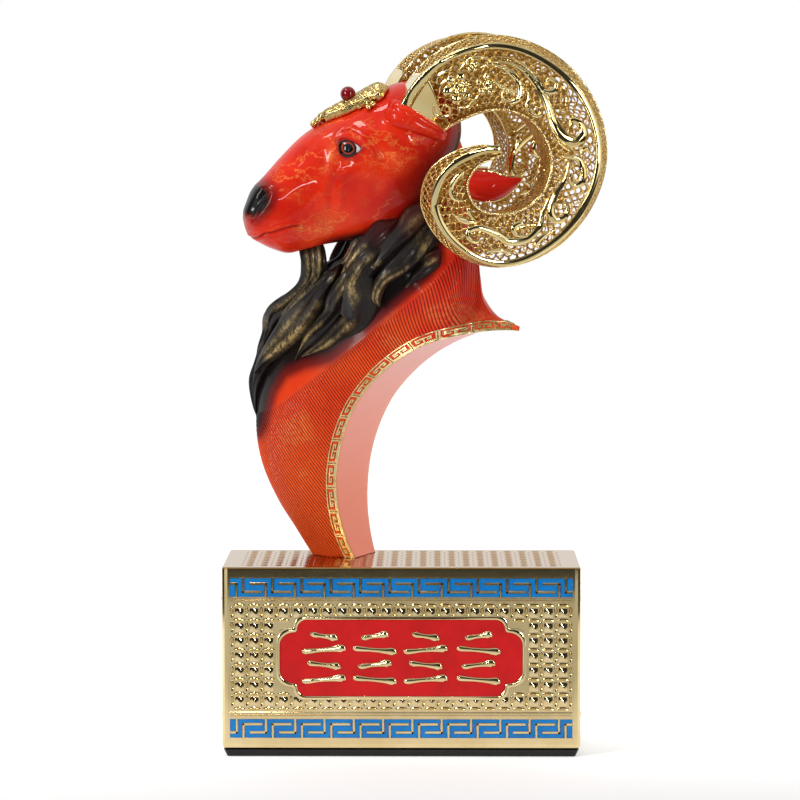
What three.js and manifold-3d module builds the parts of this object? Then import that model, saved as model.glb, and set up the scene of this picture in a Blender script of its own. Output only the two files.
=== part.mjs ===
// A ram's head and neck in red lacquer with two pierced gold horns, on a gold box plinth.
// Sizes are in millimetres. +X is to the viewer's right, +Y goes away from the viewer, +Z is up.
// The origin is the centre of the plinth's underside.

import * as THREE from 'three';
import { mergeVertices } from 'three/addons/utils/BufferGeometryUtils.js';
import Module from 'manifold-3d';

const wasm = await Module();
wasm.setup();
const { Manifold, Mesh } = wasm;

// plinth
const base_width = 180;
const base_depth = 80;
const base_top = 95.6;
const foot_height = 3.5;
const foot_bevel = 2.5;
const seam = 0.3;
const corner_radius = 3;
const relief = 0.8;
const band_height = 9.8;
const upper_band_z = 85.4;
const lower_band_z = 14.2;
const field_width = 172;
const field_low = 22.5;
const field_high = 78;
const panel_z = 50;
const panel_width = 105;
const panel_height = 39.5;
const lobe_width = 123;
const lobe_height = 26.6;
const stroke_groups = [-39, -13.5, 12, 38.5];
// each stroke's place above the panel's middle, and half its length
const stroke_rows = [[11, 5.5], [4, 9.5], [-3.5, 7], [-11, 9.5]];

// how the bust turns on its upright axis: the neck faces away, the head faces the viewer
const pivot_x = 10;
const pivot_y = 4;
const neck_turn = -19.3;
const head_turn = 13.5;
const head_roll = 3.5;
const turn_low = 208;
const turn_high = 250;

// head, along its own axis from the nose tip
const nose_x = -90.8;
const nose_z = 272;
const head_slope = 29;
const head_sides = 16;
// distance along the axis, top, bottom, half width
const head_stations = [
  [-3.2, -5, -12, 5.5], [-1, 1, -16.5, 10.5], [3, 4.8, -22, 13.2], [9, 9.2, -27.8, 15.2],
  [18, 12.2, -30.4, 16.3], [30, 16.4, -34, 18], [43, 20, -39, 20.8], [56, 21.3, -44.2, 24],
  [69, 21, -46.6, 26], [81, 20.8, -43.5, 26], [94, 20.9, -34, 25], [106, 17.5, -27, 21.5], [114, 9.5, -20, 15], [119, -2, -12, 5],
];
const eye_along = 58;
const eye_height = 6.5;
const eye_radius = 5.2;

// neck: its hollow back is an arc, its front a free curve
const arc_x = 50.7;
const arc_z = 130.5;
const arc_radius = 88.5;
const arc_radius_end = 82.2;
const neck_foot = base_top + seam;
const edge_band = 5.5;
const edge_rise = 0.5;
// angle of the arc, front x and z, half width at the back face, swelling of the side
const neck_stations = [
  [203.1, -58.6, neck_foot, 14.8, 0], [194, -66.8, 108.5, 18.6, 0], [185, -76, 122, 21.4, 0.5],
  [176, -83.8, 136.9, 23.4, 1], [167, -88, 150.4, 24.6, 1.5], [158, -89.3, 165, 25.8, 2],
  [149, -87.4, 182, 26.8, 2], [140, -78, 205, 27.4, 2], [131, -60, 228, 27.6, 1], [122, -40, 250, 27.4, -1],
  [114, -20, 290, 25.6, 1], [108, 5, 322, 22, 3], [104, 19.5, 311, 16, 2.5], [101.5, 22.5, 288, 10, 1.5],
  [99, 26.5, 250, 8.5, 0.8], [96.5, 29.3, 234.5, 7, 0.4], [94, 34, 225.4, 5.4, 0.2],
  [91.5, 42, 218.6, 3.4, 0.1], [89.3, 51.9, 214.8, 0.6, 0],
];

// horn: a spiral about one centre, seen from the side
const horn_x = 27.7;
const horn_z = 302;
const horn_band = 3.4;
const horn_steps = 25;
// angle, rim radius, inner radius, flare of the inner side, sideways reach, depth
const horn_stations = [
  [150, 52.4, 26.5, -2.4, 25, 18], [134, 54.6, 24.8, -1, 29, 20], [120, 56.1, 24.1, 0.5, 34, 22],
  [90, 57.4, 24.6, 3.2, 43, 24], [60, 54.4, 24.8, 7, 49, 25], [30, 51.8, 24.2, 9.2, 53.5, 25],
  [0, 49.9, 24.5, 10.2, 56, 25], [-30, 48.5, 25.2, 9.2, 56.5, 24], [-60, 49.4, 25.7, 6.6, 57, 23],
  [-90, 51.9, 26, 2.4, 57.5, 22], [-120, 48.6, 26.6, 1.2, 58, 20], [-150, 43.2, 22.5, 1.4, 60, 17],
  [-170, 34.2, 16.2, 3.4, 63, 14], [-190, 21.6, 9.4, 4, 65.5, 10], [-210, 14.6, 6.8, 1.3, 68, 7],
  [-232, 10.2, 6, 0, 70, 4.4],
];

// ornament on the forehead
const ornament_gap = 0.35;
const ornament_thickness = 4.8;
const stone_along = 74.2;
const stone_height = 27.6;
const stone_radius = 3.9;

const rad = Math.PI / 180;
const clamp = (v, a, b) => Math.min(b, Math.max(a, v));
const blend = (a, b, t) => a + (b - a) * t;
const ease = (a, b, v) => {
  const t = clamp((v - a) / (b - a), 0, 1);
  return t * t * (3 - 2 * t);
};

// smooth curve through rows of numbers, read at a place from 0 to 1
function through(rows) {
  const at = (i) => rows[clamp(i, 0, rows.length - 1)];
  return (u) => {
    const f = clamp(u, 0, 1) * (rows.length - 1);
    const i = Math.min(Math.floor(f), rows.length - 2);
    const t = f - i;
    return at(i).map((p1, k) => {
      const p0 = at(i - 1)[k];
      const p2 = at(i + 1)[k];
      const p3 = at(i + 2)[k];
      return 0.5 * (2 * p1 + (p2 - p0) * t + (2 * p0 - 5 * p1 + 4 * p2 - p3) * t * t
        + (3 * p1 - p0 - 3 * p2 + p3) * t * t * t);
    });
  };
}

// the same, read by the first number of each row
function table(rows) {
  const curve = through(rows);
  const sign = Math.sign(rows[rows.length - 1][0] - rows[0][0]);
  return (v) => {
    let i = 0;
    while (i < rows.length - 2 && sign * (v - rows[i + 1][0]) > 0) i += 1;
    const t = clamp((v - rows[i][0]) / (rows[i + 1][0] - rows[i][0]), 0, 1);
    return curve((i + t) / (rows.length - 1));
  };
}

// a closed skin from points and faces, turned so that it faces out
function skin(points, faces) {
  const v = (i) => new THREE.Vector3(...points[i]);
  let six = 0;
  for (let i = 0; i < faces.length; i += 3) six += v(faces[i]).dot(v(faces[i + 1]).cross(v(faces[i + 2])));
  const index = [];
  for (let i = 0; i < faces.length; i += 3) {
    if (six > 0) index.push(faces[i], faces[i + 1], faces[i + 2]);
    else index.push(faces[i], faces[i + 2], faces[i + 1]);
  }
  const geometry = new THREE.BufferGeometry();
  geometry.setAttribute('position', new THREE.Float32BufferAttribute(points.flat(), 3));
  geometry.setIndex(index);
  return geometry;
}

function to_solid(geometry) {
  const bare = new THREE.BufferGeometry();
  bare.setAttribute('position', geometry.getAttribute('position').clone());
  bare.setIndex(geometry.index);
  const merged = mergeVertices(bare, 1e-4);
  return new Manifold(new Mesh({
    numProp: 3,
    vertProperties: merged.getAttribute('position').array,
    triVerts: new Uint32Array(merged.index.array),
  }));
}

function from_solid(solid) {
  const mesh = solid.getMesh();
  const geometry = new THREE.BufferGeometry();
  geometry.setAttribute('position', new THREE.BufferAttribute(mesh.vertProperties, 3));
  geometry.setIndex(new THREE.BufferAttribute(mesh.triVerts, 1));
  return geometry;
}

function join(list) {
  const solids = list.map(to_solid);
  return from_solid(solids.slice(1).reduce((all, one) => all.add(one), solids[0]));
}

function cut(body, tools) {
  return from_solid(tools.map(to_solid).reduce((left, tool) => left.subtract(tool), to_solid(body)));
}

// a closed skin over rings that all have the same number of points
function loft(rings) {
  const n = rings[0].length;
  const points = rings.flat();
  const faces = [];
  for (let i = 0; i + 1 < rings.length; i += 1) {
    for (let j = 0; j < n; j += 1) {
      const a = i * n + j;
      const b = i * n + ((j + 1) % n);
      faces.push(a, b, a + n, b, b + n, a + n);
    }
  }
  [0, rings.length - 1].forEach((i, end) => {
    const ring = rings[i];
    const c = points.length;
    points.push([0, 1, 2].map((k) => ring.reduce((s, p) => s + p[k], 0) / n));
    for (let j = 0; j < n; j += 1) {
      const a = i * n + j;
      const b = i * n + ((j + 1) % n);
      if (end) faces.push(c, a, b);
      else faces.push(c, b, a);
    }
  });
  return skin(points, faces);
}

// a round or flattened rod along a path of rows x, y, z, radius
function rod(rows, steps, sides, flat = 1, lean = [0, -1, 0]) {
  const path = through(rows);
  const rings = [];
  for (let i = 0; i <= steps; i += 1) {
    const u = i / steps;
    const p = path(u);
    const q = path(Math.min(u + 0.01, 1));
    const o = path(Math.max(u - 0.01, 0));
    const along = new THREE.Vector3(q[0] - o[0], q[1] - o[1], q[2] - o[2]).normalize();
    const up = new THREE.Vector3(...lean);
    up.addScaledVector(along, -up.dot(along)).normalize();
    const side = new THREE.Vector3().crossVectors(along, up);
    const ring = [];
    for (let j = 0; j < sides; j += 1) {
      const a = (2 * Math.PI * (j + 0.5)) / sides;
      const r = Math.max(p[3], 0.15);
      const v = new THREE.Vector3(p[0], p[1], p[2])
        .addScaledVector(side, r * Math.cos(a))
        .addScaledVector(up, r * flat * Math.sin(a));
      ring.push(v.toArray());
    }
    rings.push(ring);
  }
  return loft(rings);
}

// each point of a shape carried elsewhere
function carried(geometry, where) {
  const made = geometry.clone();
  const position = made.getAttribute('position');
  for (let i = 0; i < position.count; i += 1) {
    position.setXYZ(i, ...where(position.getX(i), position.getY(i), position.getZ(i)));
  }
  return made;
}

function other_side(geometry) {
  const made = carried(geometry, (x, y, z) => [x, -y, z]);
  const { array } = made.index;
  for (let i = 0; i < array.length; i += 3) [array[i + 1], array[i + 2]] = [array[i + 2], array[i + 1]];
  return made;
}

function ball(radius, place, around = 8) {
  return new THREE.SphereGeometry(radius, around, Math.round(around * 0.6)).translate(...place);
}

// turns a point of the straight bust to its final attitude
function attitude(x, y, z) {
  const w = ease(turn_low, turn_high, z);
  const turn = blend(neck_turn, head_turn, w) * rad;
  const roll = head_roll * w * rad;
  const y1 = y * Math.cos(roll) - (z - turn_high) * Math.sin(roll);
  const z1 = turn_high + y * Math.sin(roll) + (z - turn_high) * Math.cos(roll);
  return [
    pivot_x + x * Math.cos(turn) - y1 * Math.sin(turn),
    pivot_y + x * Math.sin(turn) + y1 * Math.cos(turn),
    z1,
  ];
}

function turned(geometry) {
  return carried(geometry, attitude);
}

// head
const head_row = table(head_stations);
const ax = Math.cos(head_slope * rad);
const az = Math.sin(head_slope * rad);
const on_head = (s, h, y) => [nose_x + s * ax - h * az, y, nose_z + s * az + h * ax];

function head_point(s, a, out) {
  const [, top, bottom, half] = head_row(s);
  const mid = (top + bottom) / 2;
  const tall = (top - bottom) / 2;
  const c = Math.cos(a);
  const q = Math.sin(a);
  const y = (half + out) * Math.sign(c) * Math.abs(c) ** 0.85 * (1 + 0.12 * q);
  const h = mid + (tall + out) * Math.sign(q) * Math.abs(q) ** 0.92;
  return on_head(s, h, y);
}

// how far out the head's side lies at a distance along it and a height
function head_side(s, h) {
  const [, top, bottom, half] = head_row(s);
  const part = clamp((2 * h - top - bottom) / (top - bottom), -1, 1);
  const q = Math.sign(part) * Math.abs(part) ** (1 / 0.92);
  return half * (1 - q * q) ** 0.425 * (1 + 0.12 * q);
}

function head_skin(out) {
  const rings = head_stations.map((row) => {
    const ring = [];
    for (let j = 0; j < head_sides; j += 1) ring.push(head_point(row[0], (2 * Math.PI * j) / head_sides, out));
    return ring;
  });
  return loft(rings);
}

// a rod that follows the head's side: rows of distance along, height, radius, depth under the skin
function on_side(rows, steps, sides) {
  return rod(rows.map(([s, h, r, deep]) => [...on_head(s, h, deep - head_side(s, h)), r]), steps, sides);
}

function eye_and_brow() {
  const place = on_head(eye_along, eye_height, 3.4 - head_side(eye_along, eye_height));
  const brow = [[-8, 2, 1.4], [-4, 6.2, 2], [0, 7.6, 2.2], [5, 6.4, 2], [10, 3, 1.6], [15, -2.5, 0.8]];
  const rows = brow.map(([d, rise, r]) => [eye_along + d, eye_height + rise, r, 0.7]);
  return [ball(eye_radius, place, 9), on_side(rows, 6, 4)];
}

function nostril() {
  return on_side([[1, 0.4, 0.8, 0.2], [4, 2.6, 1.9, 0.2], [8.5, 4, 2.1, 0.2], [12, 4.4, 1, 0.2]], 5, 5);
}

function mouth() {
  return on_side([[-2, -11.5, 0.5, 0], [3, -15.2, 0.9, 0], [11, -17.4, 1, 0], [20, -18.4, 0.5, 0]], 5, 4);
}

// neck: each section runs from the hollow back to the front
function neck_skin() {
  const rings = neck_stations.map(([angle, x1, z1, half, swell]) => {
    const t = clamp((203.1 - angle) / 60 - 0.9, 0, 1);
    const r = blend(arc_radius, arc_radius_end, t);
    const x0 = arc_x + r * Math.cos(angle * rad);
    const z0 = angle === 203.1 ? neck_foot : arc_z + r * Math.sin(angle * rad);
    const long = Math.hypot(x1 - x0, z1 - z0);
    const step = Math.min(edge_band / long, 0.3);
    const side = [[0, edge_rise], [step, edge_rise], [step * 1.08, 0]];
    [0.36, 0.62, 0.84, 1].forEach((v) => side.push([Math.max(v, step * 1.2), 0]));
    const half_ring = side.map(([v, rise]) => {
      const w = half * Math.sqrt(Math.max(0, 1 - v ** 2.2)) + swell * Math.sin(Math.PI * v) + rise * Math.min(1, half / 6);
      return [blend(x0, x1, v), w, blend(z0, z1, v)];
    });
    const near = half_ring.map(([x, w, z]) => [x, -w, z]);
    const far = half_ring.slice(0, -1).reverse().map(([x, w, z]) => [x, w, z]);
    return [...near, ...far];
  });
  return loft(rings);
}

// beard: tapered locks that hang from the jaw and sweep forward down the chest
// rows: x, z, sideways reach, radius
const locks = [
  [[-57.6, 257, 0, 7], [-57, 244, 1, 6.4], [-59, 233, 3, 6.6], [-68, 223, 5, 5.2], [-78, 214, 6, 3.8], [-83.5, 205, 7, 1.4]],
  [[-26, 258, 10, 8], [-37.5, 247, 13, 6.8], [-47, 238, 13, 6.8], [-58, 229, 10, 6], [-68, 221, 9, 3]],
  [[-28, 254, 20, 6], [-40, 243, 19, 5.4], [-43.4, 233, 20, 4.6], [-40.4, 224, 21, 5], [-46, 215, 20, 5], [-56, 207, 17, 3], [-63, 201, 15, 1]],
  [[-10, 262, 22, 7], [-22, 254, 24, 6.4], [-31, 246, 24, 5], [-30, 236, 25, 4.2], [-22, 226.6, 26, 4.6], [-25, 216, 25, 5], [-37, 207, 23, 4.4], [-50, 201, 20, 2.8], [-60, 196.5, 18, 0.8]],
  [[0, 272, 22, 7], [-6, 257, 25, 5.4], [-15, 246, 27, 4.2], [-22, 233, 28, 0.8]],
  [[5, 262, 23, 5], [-4, 250, 27, 4], [-11, 241, 28.5, 3], [-14, 233, 29, 0.8]],
  [[-50, 240, 12, 6], [-48.7, 230, 16, 5.4], [-52, 221, 16, 5.6], [-60, 213, 15, 5], [-70, 205, 13, 3.6], [-79, 199, 10, 1.2]],
  [[-60, 230, 7, 6], [-73, 218, 8, 6], [-81.4, 206.5, 7, 5.4], [-86, 196, 6, 4.8], [-88.4, 185, 5, 4.2], [-88.6, 174, 5, 3], [-86.2, 166, 6, 0.8]],
  [[-40, 230, 21, 4], [-50, 221, 20.5, 4.8], [-59.5, 212, 18.5, 4.4], [-68, 203, 16.5, 3], [-76, 198, 15, 0.8]],
];

function beard() {
  const near = locks.map((rows) => rod(rows.map(([x, z, y, r]) => [x, -y, z, r]), Math.min(rows.length, 7), 5, 0.9));
  return near.flatMap((lock, i) => (i === 0 || i === 8 ? [lock] : [lock, other_side(lock)]));
}

// ear: a cupped leaf behind the horn's root
function ear() {
  const rows = [[8, 289, 18, 4.5], [17, 289, 24, 6.4], [26, 287.5, 28.5, 7.4], [34, 288, 32, 5.4], [42, 291.5, 35, 0.6]];
  return rod(rows.map(([x, z, y, r]) => [x, -y, z, r]), 6, 6, 0.34, [0.5, 1, 0]);
}

// horn, on the near side; grow widens it for its socket
const horn_row = table(horn_stations);

function horn_ring(angle, grow) {
  const [, rim, inner, flare, reach, depth] = horn_row(angle);
  const ring = [
    [rim + grow, reach + 0.7 + grow], [rim - horn_band * Math.min(1, rim / 40), reach + 0.7 + grow],
    [rim - horn_band * Math.min(1, rim / 40) - 0.4, reach - 0.2 + grow],
    [inner + 2.4, reach - 0.2 + grow], [inner + 1.4, reach + 0.6 + grow], [inner - grow, reach + 0.6 + grow],
    [inner + 0.6 - grow, reach - depth - grow], [rim + flare + grow, reach - depth - grow],
  ];
  return ring.map(([r, y]) => [horn_x + r * Math.cos(angle * rad), -y, horn_z + r * Math.sin(angle * rad)]);
}

// the angles of the horn's rings, from the root to the tip
const horn_angles = Array.from({ length: horn_steps + 1 }, (_, i) => blend(150, -232, i / horn_steps));

function horn_body(angles, grow) {
  return loft(angles.map((angle) => horn_ring(angle, grow)));
}

// a scroll on the horn's side: rows of angle, share of the width from the inner edge, radius
function scroll(rows) {
  const path = rows.map(([angle, share, r]) => {
    const [, rim, inner, , reach] = horn_row(angle);
    const d = blend(inner, rim, share);
    return [horn_x + d * Math.cos(angle * rad), -(reach + 0.1), horn_z + d * Math.sin(angle * rad), r];
  });
  return rod(path, rows.length, 3, 1.4);
}

const scrolls = [
  [[103, 0.8, 0.5], [84, 0.82, 1.2], [69, 0.66, 1.6], [63, 0.4, 1.6], [72, 0.24, 1.3], [82, 0.32, 1], [77, 0.46, 0.5]],
  [[76, 0.84, 0.5], [55, 0.8, 1.2], [38, 0.5, 1.3], [22, 0.42, 1.7], [12, 0.66, 2.1], [20, 0.86, 1.8], [28, 0.76, 0.7]],
  [[8, 0.5, 0.5], [2, 0.74, 1.5], [-7, 0.88, 1.7], [-19, 0.78, 1.4], [-17, 0.58, 1], [-8, 0.6, 0.4]],
  [[2, 0.44, 0.4], [-12, 0.4, 1.3], [-30, 0.42, 1.6], [-42, 0.62, 1.5], [-33, 0.78, 1.1], [-27, 0.62, 0.5]],
  [[-42, 0.16, 0.4], [-56, 0.3, 1.1], [-72, 0.5, 1.5], [-92, 0.6, 1.6], [-110, 0.46, 1.3], [-122, 0.62, 1.3], [-112, 0.8, 1], [-103, 0.7, 0.5]],
  [[-122, 0.2, 0.4], [-136, 0.4, 1], [-150, 0.5, 1.1], [-164, 0.36, 0.5]],
];

function flower(angle, share, size, petals) {
  const [, rim, inner, , reach] = horn_row(angle);
  const d = blend(inner, rim, share);
  const x = horn_x + d * Math.cos(angle * rad);
  const z = horn_z + d * Math.sin(angle * rad);
  const place = (one, dx, dz, dy = 0) => one.translate(x + dx, dy - reach - 0.6, z + dz);
  const parts = [place(new THREE.CylinderGeometry(size * 0.5, size * 0.42, 1.8, 8), 0, 0)];
  for (let i = 0; i < petals; i += 1) {
    const a = (2 * Math.PI * i) / petals;
    const petal = new THREE.CylinderGeometry(size * 0.3, size * 0.34, 1.2, 4);
    parts.push(place(petal, size * 0.68 * Math.cos(a), size * 0.68 * Math.sin(a)));
  }
  const hole = new THREE.BoxGeometry(size * 0.36, 3, size * 0.36).rotateY(Math.PI / 4);
  return cut(join(parts), [place(hole, 0, 0, -1.6)]);
}

function near_horn() {
  const body = horn_body(horn_angles, 0);
  const end = horn_row(-232);
  const mid = (end[1] + end[2]) / 2;
  const turn = -232 * rad;
  const tip = ball(2.3, [horn_x + mid * Math.cos(turn), 1.9 - end[4], horn_z + mid * Math.sin(turn)]);
  return join([body, tip, ...scrolls.map(scroll), flower(119, 0.42, 9, 5), flower(97, 0.44, 6.5, 4)]);
}

// folded collar of skin round the horn's root
function collar() {
  const centre = horn_row(147);
  const mid = (centre[1] + centre[2]) / 2;
  const half = (centre[1] - centre[2]) / 2 + 1.2;
  const rings = [];
  const n = 12;
  for (let i = 0; i < n; i += 1) {
    const a = (2 * Math.PI * i) / n;
    const r = mid + half * Math.cos(a);
    const y = centre[4] - centre[5] / 2 + (centre[5] / 2 + 1.4) * Math.sin(a);
    const thick = 3.6 + 0.8 * Math.sin(a);
    const ring = [];
    for (let j = 0; j < 5; j += 1) {
      const b = (2 * Math.PI * j) / 5;
      const rr = r + thick * Math.cos(b) * Math.cos(a);
      const yy = y + thick * Math.cos(b) * Math.sin(a);
      const turn = (149 + (thick * Math.sin(b)) / 0.7) * rad;
      ring.push([horn_x + rr * Math.cos(turn), -yy, horn_z + rr * Math.sin(turn)]);
    }
    rings.push(ring);
  }
  const points = rings.flat();
  const faces = [];
  for (let i = 0; i < n; i += 1) {
    for (let j = 0; j < 5; j += 1) {
      const a = i * 5 + j;
      const b = i * 5 + ((j + 1) % 5);
      const c = ((i + 1) % n) * 5 + j;
      const d = ((i + 1) % n) * 5 + ((j + 1) % 5);
      faces.push(a, b, c, b, d, c);
    }
  }
  return skin(points, faces);
}

function bust() {
  const pairs = [...eye_and_brow(), collar(), ear()].flatMap((one) => [one, other_side(one)]);
  const socket = horn_body([150.6, ...horn_angles.slice(0, 7)], 0.35);
  const cuts = [nostril(), mouth(), socket].flatMap((one) => [one, other_side(one)]);
  const below = new THREE.BoxGeometry(400, 400, neck_foot).translate(0, 0, neck_foot / 2);
  return cut(join([neck_skin(), head_skin(0), ...beard(), ...pairs]), [...cuts, below]);
}

// forehead plate: follows the skull, with beads at its ends
const stone_place = on_head(stone_along, stone_height, 0);

function ornament() {
  const rows = [[57, 0.14], [62, 0.22], [68, 0.28], [74, 0.31], [80, 0.35], [86, 0.42], [92, 0.26]];
  const rings = rows.map(([s, spread]) => {
    const ring = [];
    for (let j = 0; j <= 4; j += 1) ring.push(head_point(s, Math.PI / 2 + spread * (j / 2 - 1), ornament_gap - 1));
    for (let j = 4; j >= 0; j -= 1) {
      const a = spread * (j / 2 - 1);
      const thick = ornament_thickness * (0.6 + 0.4 * Math.cos((Math.PI / 2) * (j / 2 - 1)));
      ring.push(head_point(s, Math.PI / 2 + a, ornament_gap + thick));
    }
    return ring;
  });
  const bead = (s, h, y, r) => ball(r, on_head(s, h, y), 5);
  const parts = [loft(rings), bead(51.6, 22.8, 0, 1.9), bead(54.2, 23, -1.3, 2), bead(54.2, 23, 1.4, 2), bead(57, 23.4, 0, 2.6)];
  [-1, 1].forEach((side) => {
    parts.push(bead(79, 20.4, side * 12, 2.2), bead(80.4, 19.4, side * 14.4, 1.9));
  });
  return cut(join(parts), [head_skin(ornament_gap), ball(stone_radius + seam, stone_place, 10)]);
}

function stone() {
  return cut(ball(stone_radius, stone_place, 10), [head_skin(ornament_gap)]);
}

// plinth: an outline with rounded corners, carried up
function rounded(width, depth, radius, n = 3) {
  const outline = [];
  [[1, -1, -90], [1, 1, 0], [-1, 1, 90], [-1, -1, 180]].forEach(([sx, sy, from]) => {
    for (let i = 0; i <= n; i += 1) {
      const a = (from + (90 * i) / n) * rad;
      outline.push([sx * (width / 2 - radius) + radius * Math.cos(a), sy * (depth / 2 - radius) + radius * Math.sin(a)]);
    }
  });
  return outline;
}

function upright(levels) {
  return loft(levels.map(([z, inset, radius]) => rounded(base_width - 2 * inset, base_depth - 2 * inset, radius).map(([x, y]) => [x, y, z])));
}

// the panel's outline, a tablet with a lobe at each end
function tablet(grow) {
  const w = panel_width / 2 + grow;
  const h = panel_height / 2 + grow;
  const u = lobe_width / 2 + grow;
  const v = lobe_height / 2 + grow;
  const quarter = [[u, 0], [u, v - 4], [u - 1.4, v - 1.4], [u - 4, v], [w + 1, v], [w, v + 1], [w, h - 3], [w - 3, h], [0, h]];
  const outline = [];
  [[1, 1], [-1, 1], [-1, -1], [1, -1]].forEach(([sx, sz]) => {
    const part = quarter.slice(0, -1).map(([x, z]) => [x * sx, z * sz]);
    if (sx * sz < 0) part.reverse();
    outline.push(...part);
  });
  return outline.filter(([x, z], i) => i === 0 || Math.hypot(x - outline[i - 1][0], z - outline[i - 1][1]) > 0.01);
}

function slab(outline, thickness, front) {
  const rings = [front, front + thickness].map((y) => outline.map(([x, z]) => [x, y, z + panel_z]));
  return loft(rings);
}

function bar(x0, z0, x1, z1, r0, r1) {
  const front = -base_depth / 2 + relief;
  return rod([[x0, front, z0, r0], [x1, front, z1, r1]], 1, 4, 0.5);
}

// shallow strokes that stand in a row on the panel
function strokes() {
  return stroke_groups.flatMap((x, k) => stroke_rows.map(([up, half], i) => {
    const lean = (i + k) % 2 ? 0.8 : -0.8;
    return bar(x - half, panel_z + up - lean, x + half, panel_z + up + lean, 0.9, 1.5);
  }));
}

function plinth_box() {
  const body = upright([[foot_height + seam, 1.4, 2], [foot_height + seam + 0.8, 0.4, 2.6], [foot_height + 3, 0, corner_radius], [base_top - 0.6, 0, corner_radius], [base_top, 0.6, 2.6]]);
  const y = base_depth / 2;
  const sink = (wide, low, high, across) => {
    const block = across
      ? new THREE.BoxGeometry(2 * relief, wide, high - low).translate(base_width / 2, 0, 0)
      : new THREE.BoxGeometry(wide, 2 * relief, high - low).translate(0, -y, 0);
    return block.translate(0, 0, (low + high) / 2);
  };
  const fields = (across) => {
    const wide = across ? base_depth - 8 : field_width;
    return [
      sink(wide, upper_band_z - band_height / 2, upper_band_z + band_height / 2, across),
      sink(wide, lower_band_z - band_height / 2, lower_band_z + band_height / 2, across),
      sink(wide, field_low, field_high, across),
    ];
  };
  const behind = (one) => one.clone().rotateZ(Math.PI);
  const cuts = [...fields(false), ...fields(true)].flatMap((one) => [one, behind(one)]);
  const front = cut(slab(tablet(1.4), relief + 0.2, -y), [slab(tablet(0), relief + 1.2, -y - 1)]);
  return join([cut(body, cuts), front, ...strokes()]);
}

function foot_board() {
  return upright([[0, foot_bevel, 1.6], [foot_height, 0.8, 2.4]]);
}

function add(group, name, geometry, colour, roughness, metalness) {
  geometry.computeVertexNormals();
  const part = new THREE.Mesh(geometry, new THREE.MeshStandardMaterial({ color: colour, roughness, metalness }));
  part.name = name;
  group.add(part);
}

const ram = new THREE.Group();
ram.name = 'ram_statuette';
const horn = near_horn();
add(ram, 'bust', turned(bust()), 0xd42a14, 0.2, 0);
add(ram, 'horn_left', turned(horn), 0xd4b45a, 0.2, 1);
add(ram, 'horn_right', turned(other_side(horn)), 0xd4b45a, 0.2, 1);
add(ram, 'forehead_plate', turned(ornament()), 0xd4b45a, 0.25, 1);
add(ram, 'forehead_stone', turned(stone()), 0x70000c, 0.08, 0);
add(ram, 'plinth_box', plinth_box(), 0xd4b45a, 0.2, 1);
add(ram, 'foot_board', foot_board(), 0x101010, 0.5, 0);

export default ram;
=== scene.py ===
"""A ram's head in red lacquer with pierced gold horns, on a gold box plinth. Lengths in millimetres until
make()."""
import math

import bpy
import numpy as np
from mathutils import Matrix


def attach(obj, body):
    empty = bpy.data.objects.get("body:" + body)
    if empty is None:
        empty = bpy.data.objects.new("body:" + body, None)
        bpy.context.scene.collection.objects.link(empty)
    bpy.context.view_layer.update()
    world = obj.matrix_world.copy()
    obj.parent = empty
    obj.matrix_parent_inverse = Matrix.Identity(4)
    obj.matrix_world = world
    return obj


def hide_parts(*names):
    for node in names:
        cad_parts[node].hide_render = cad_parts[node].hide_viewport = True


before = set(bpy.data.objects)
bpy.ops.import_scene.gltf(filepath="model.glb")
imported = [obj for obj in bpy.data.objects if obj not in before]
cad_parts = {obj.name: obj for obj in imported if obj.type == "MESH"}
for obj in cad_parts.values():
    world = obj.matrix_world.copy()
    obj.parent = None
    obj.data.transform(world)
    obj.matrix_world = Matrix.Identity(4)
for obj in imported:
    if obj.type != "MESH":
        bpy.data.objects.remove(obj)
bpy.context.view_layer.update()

chance = np.random.default_rng(11)


# Curves and grids
def ease(low, high, value):
    """Smooth step: 0 below low, 1 above high, 3t^2 - 2t^3 between them."""
    t = np.clip((np.asarray(value, float) - low) / (high - low), 0, 1)
    return t * t * (3 - 2 * t)


def hill(distance, width):
    """A bell: e to the power of minus the square of distance over width."""
    return np.exp(-(distance / width) ** 2)


def through(rows, place):
    """Smooth cubic curve through the rows (Catmull-Rom), read at places from 0 to 1."""
    rows = np.asarray(rows, float)
    f = np.clip(place, 0, 1) * (len(rows) - 1)
    i = np.minimum(f.astype(int), len(rows) - 2)
    t = (f - i)[..., None]
    a, b = rows[np.maximum(i - 1, 0)], rows[i]
    c, d = rows[i + 1], rows[np.minimum(i + 2, len(rows) - 1)]
    return 0.5 * (2 * b + (c - a) * t + (2 * a - 5 * b + 4 * c - d) * t**2 + (3 * b - a - 3 * c + d) * t**3)


def columns(rows, place):
    """The same curve, as one array for each column."""
    return np.moveaxis(through(rows, place), -1, 0)


def table(rows, first):
    """The columns of the curve, read by the first number of each row instead of the place."""
    rows = np.asarray(rows, float)
    way = np.sign(rows[-1, 0] - rows[0, 0])
    place = np.interp(way * np.asarray(first, float), way * rows[:, 0], np.arange(len(rows)))
    return columns(rows, place / (len(rows) - 1))


def unit(v):
    """Each vector divided by its length."""
    return v / np.maximum(np.linalg.norm(v, axis=-1, keepdims=True), 1e-9)


def stack(*parts):
    """Numbers and arrays spread to one shape and joined as a new last axis."""
    return np.stack(np.broadcast_arrays(*parts), -1)


def turns(count):
    """Angles round a circle, the first at 0."""
    return np.linspace(0, 2 * np.pi, count + 1)[:-1]


def signed(v, power):
    """The size of v to a power, with v's own sign; below 1 it squares a circle off."""
    return np.sign(v) * np.abs(v) ** power


def lengths(path):
    """How far along its path each point lies, starting from 0."""
    steps = np.linalg.norm(np.diff(path, axis=-2), axis=-1)
    return np.concatenate([np.zeros(steps.shape[:-1] + (1,)), np.cumsum(steps, -1)], -1)


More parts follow.
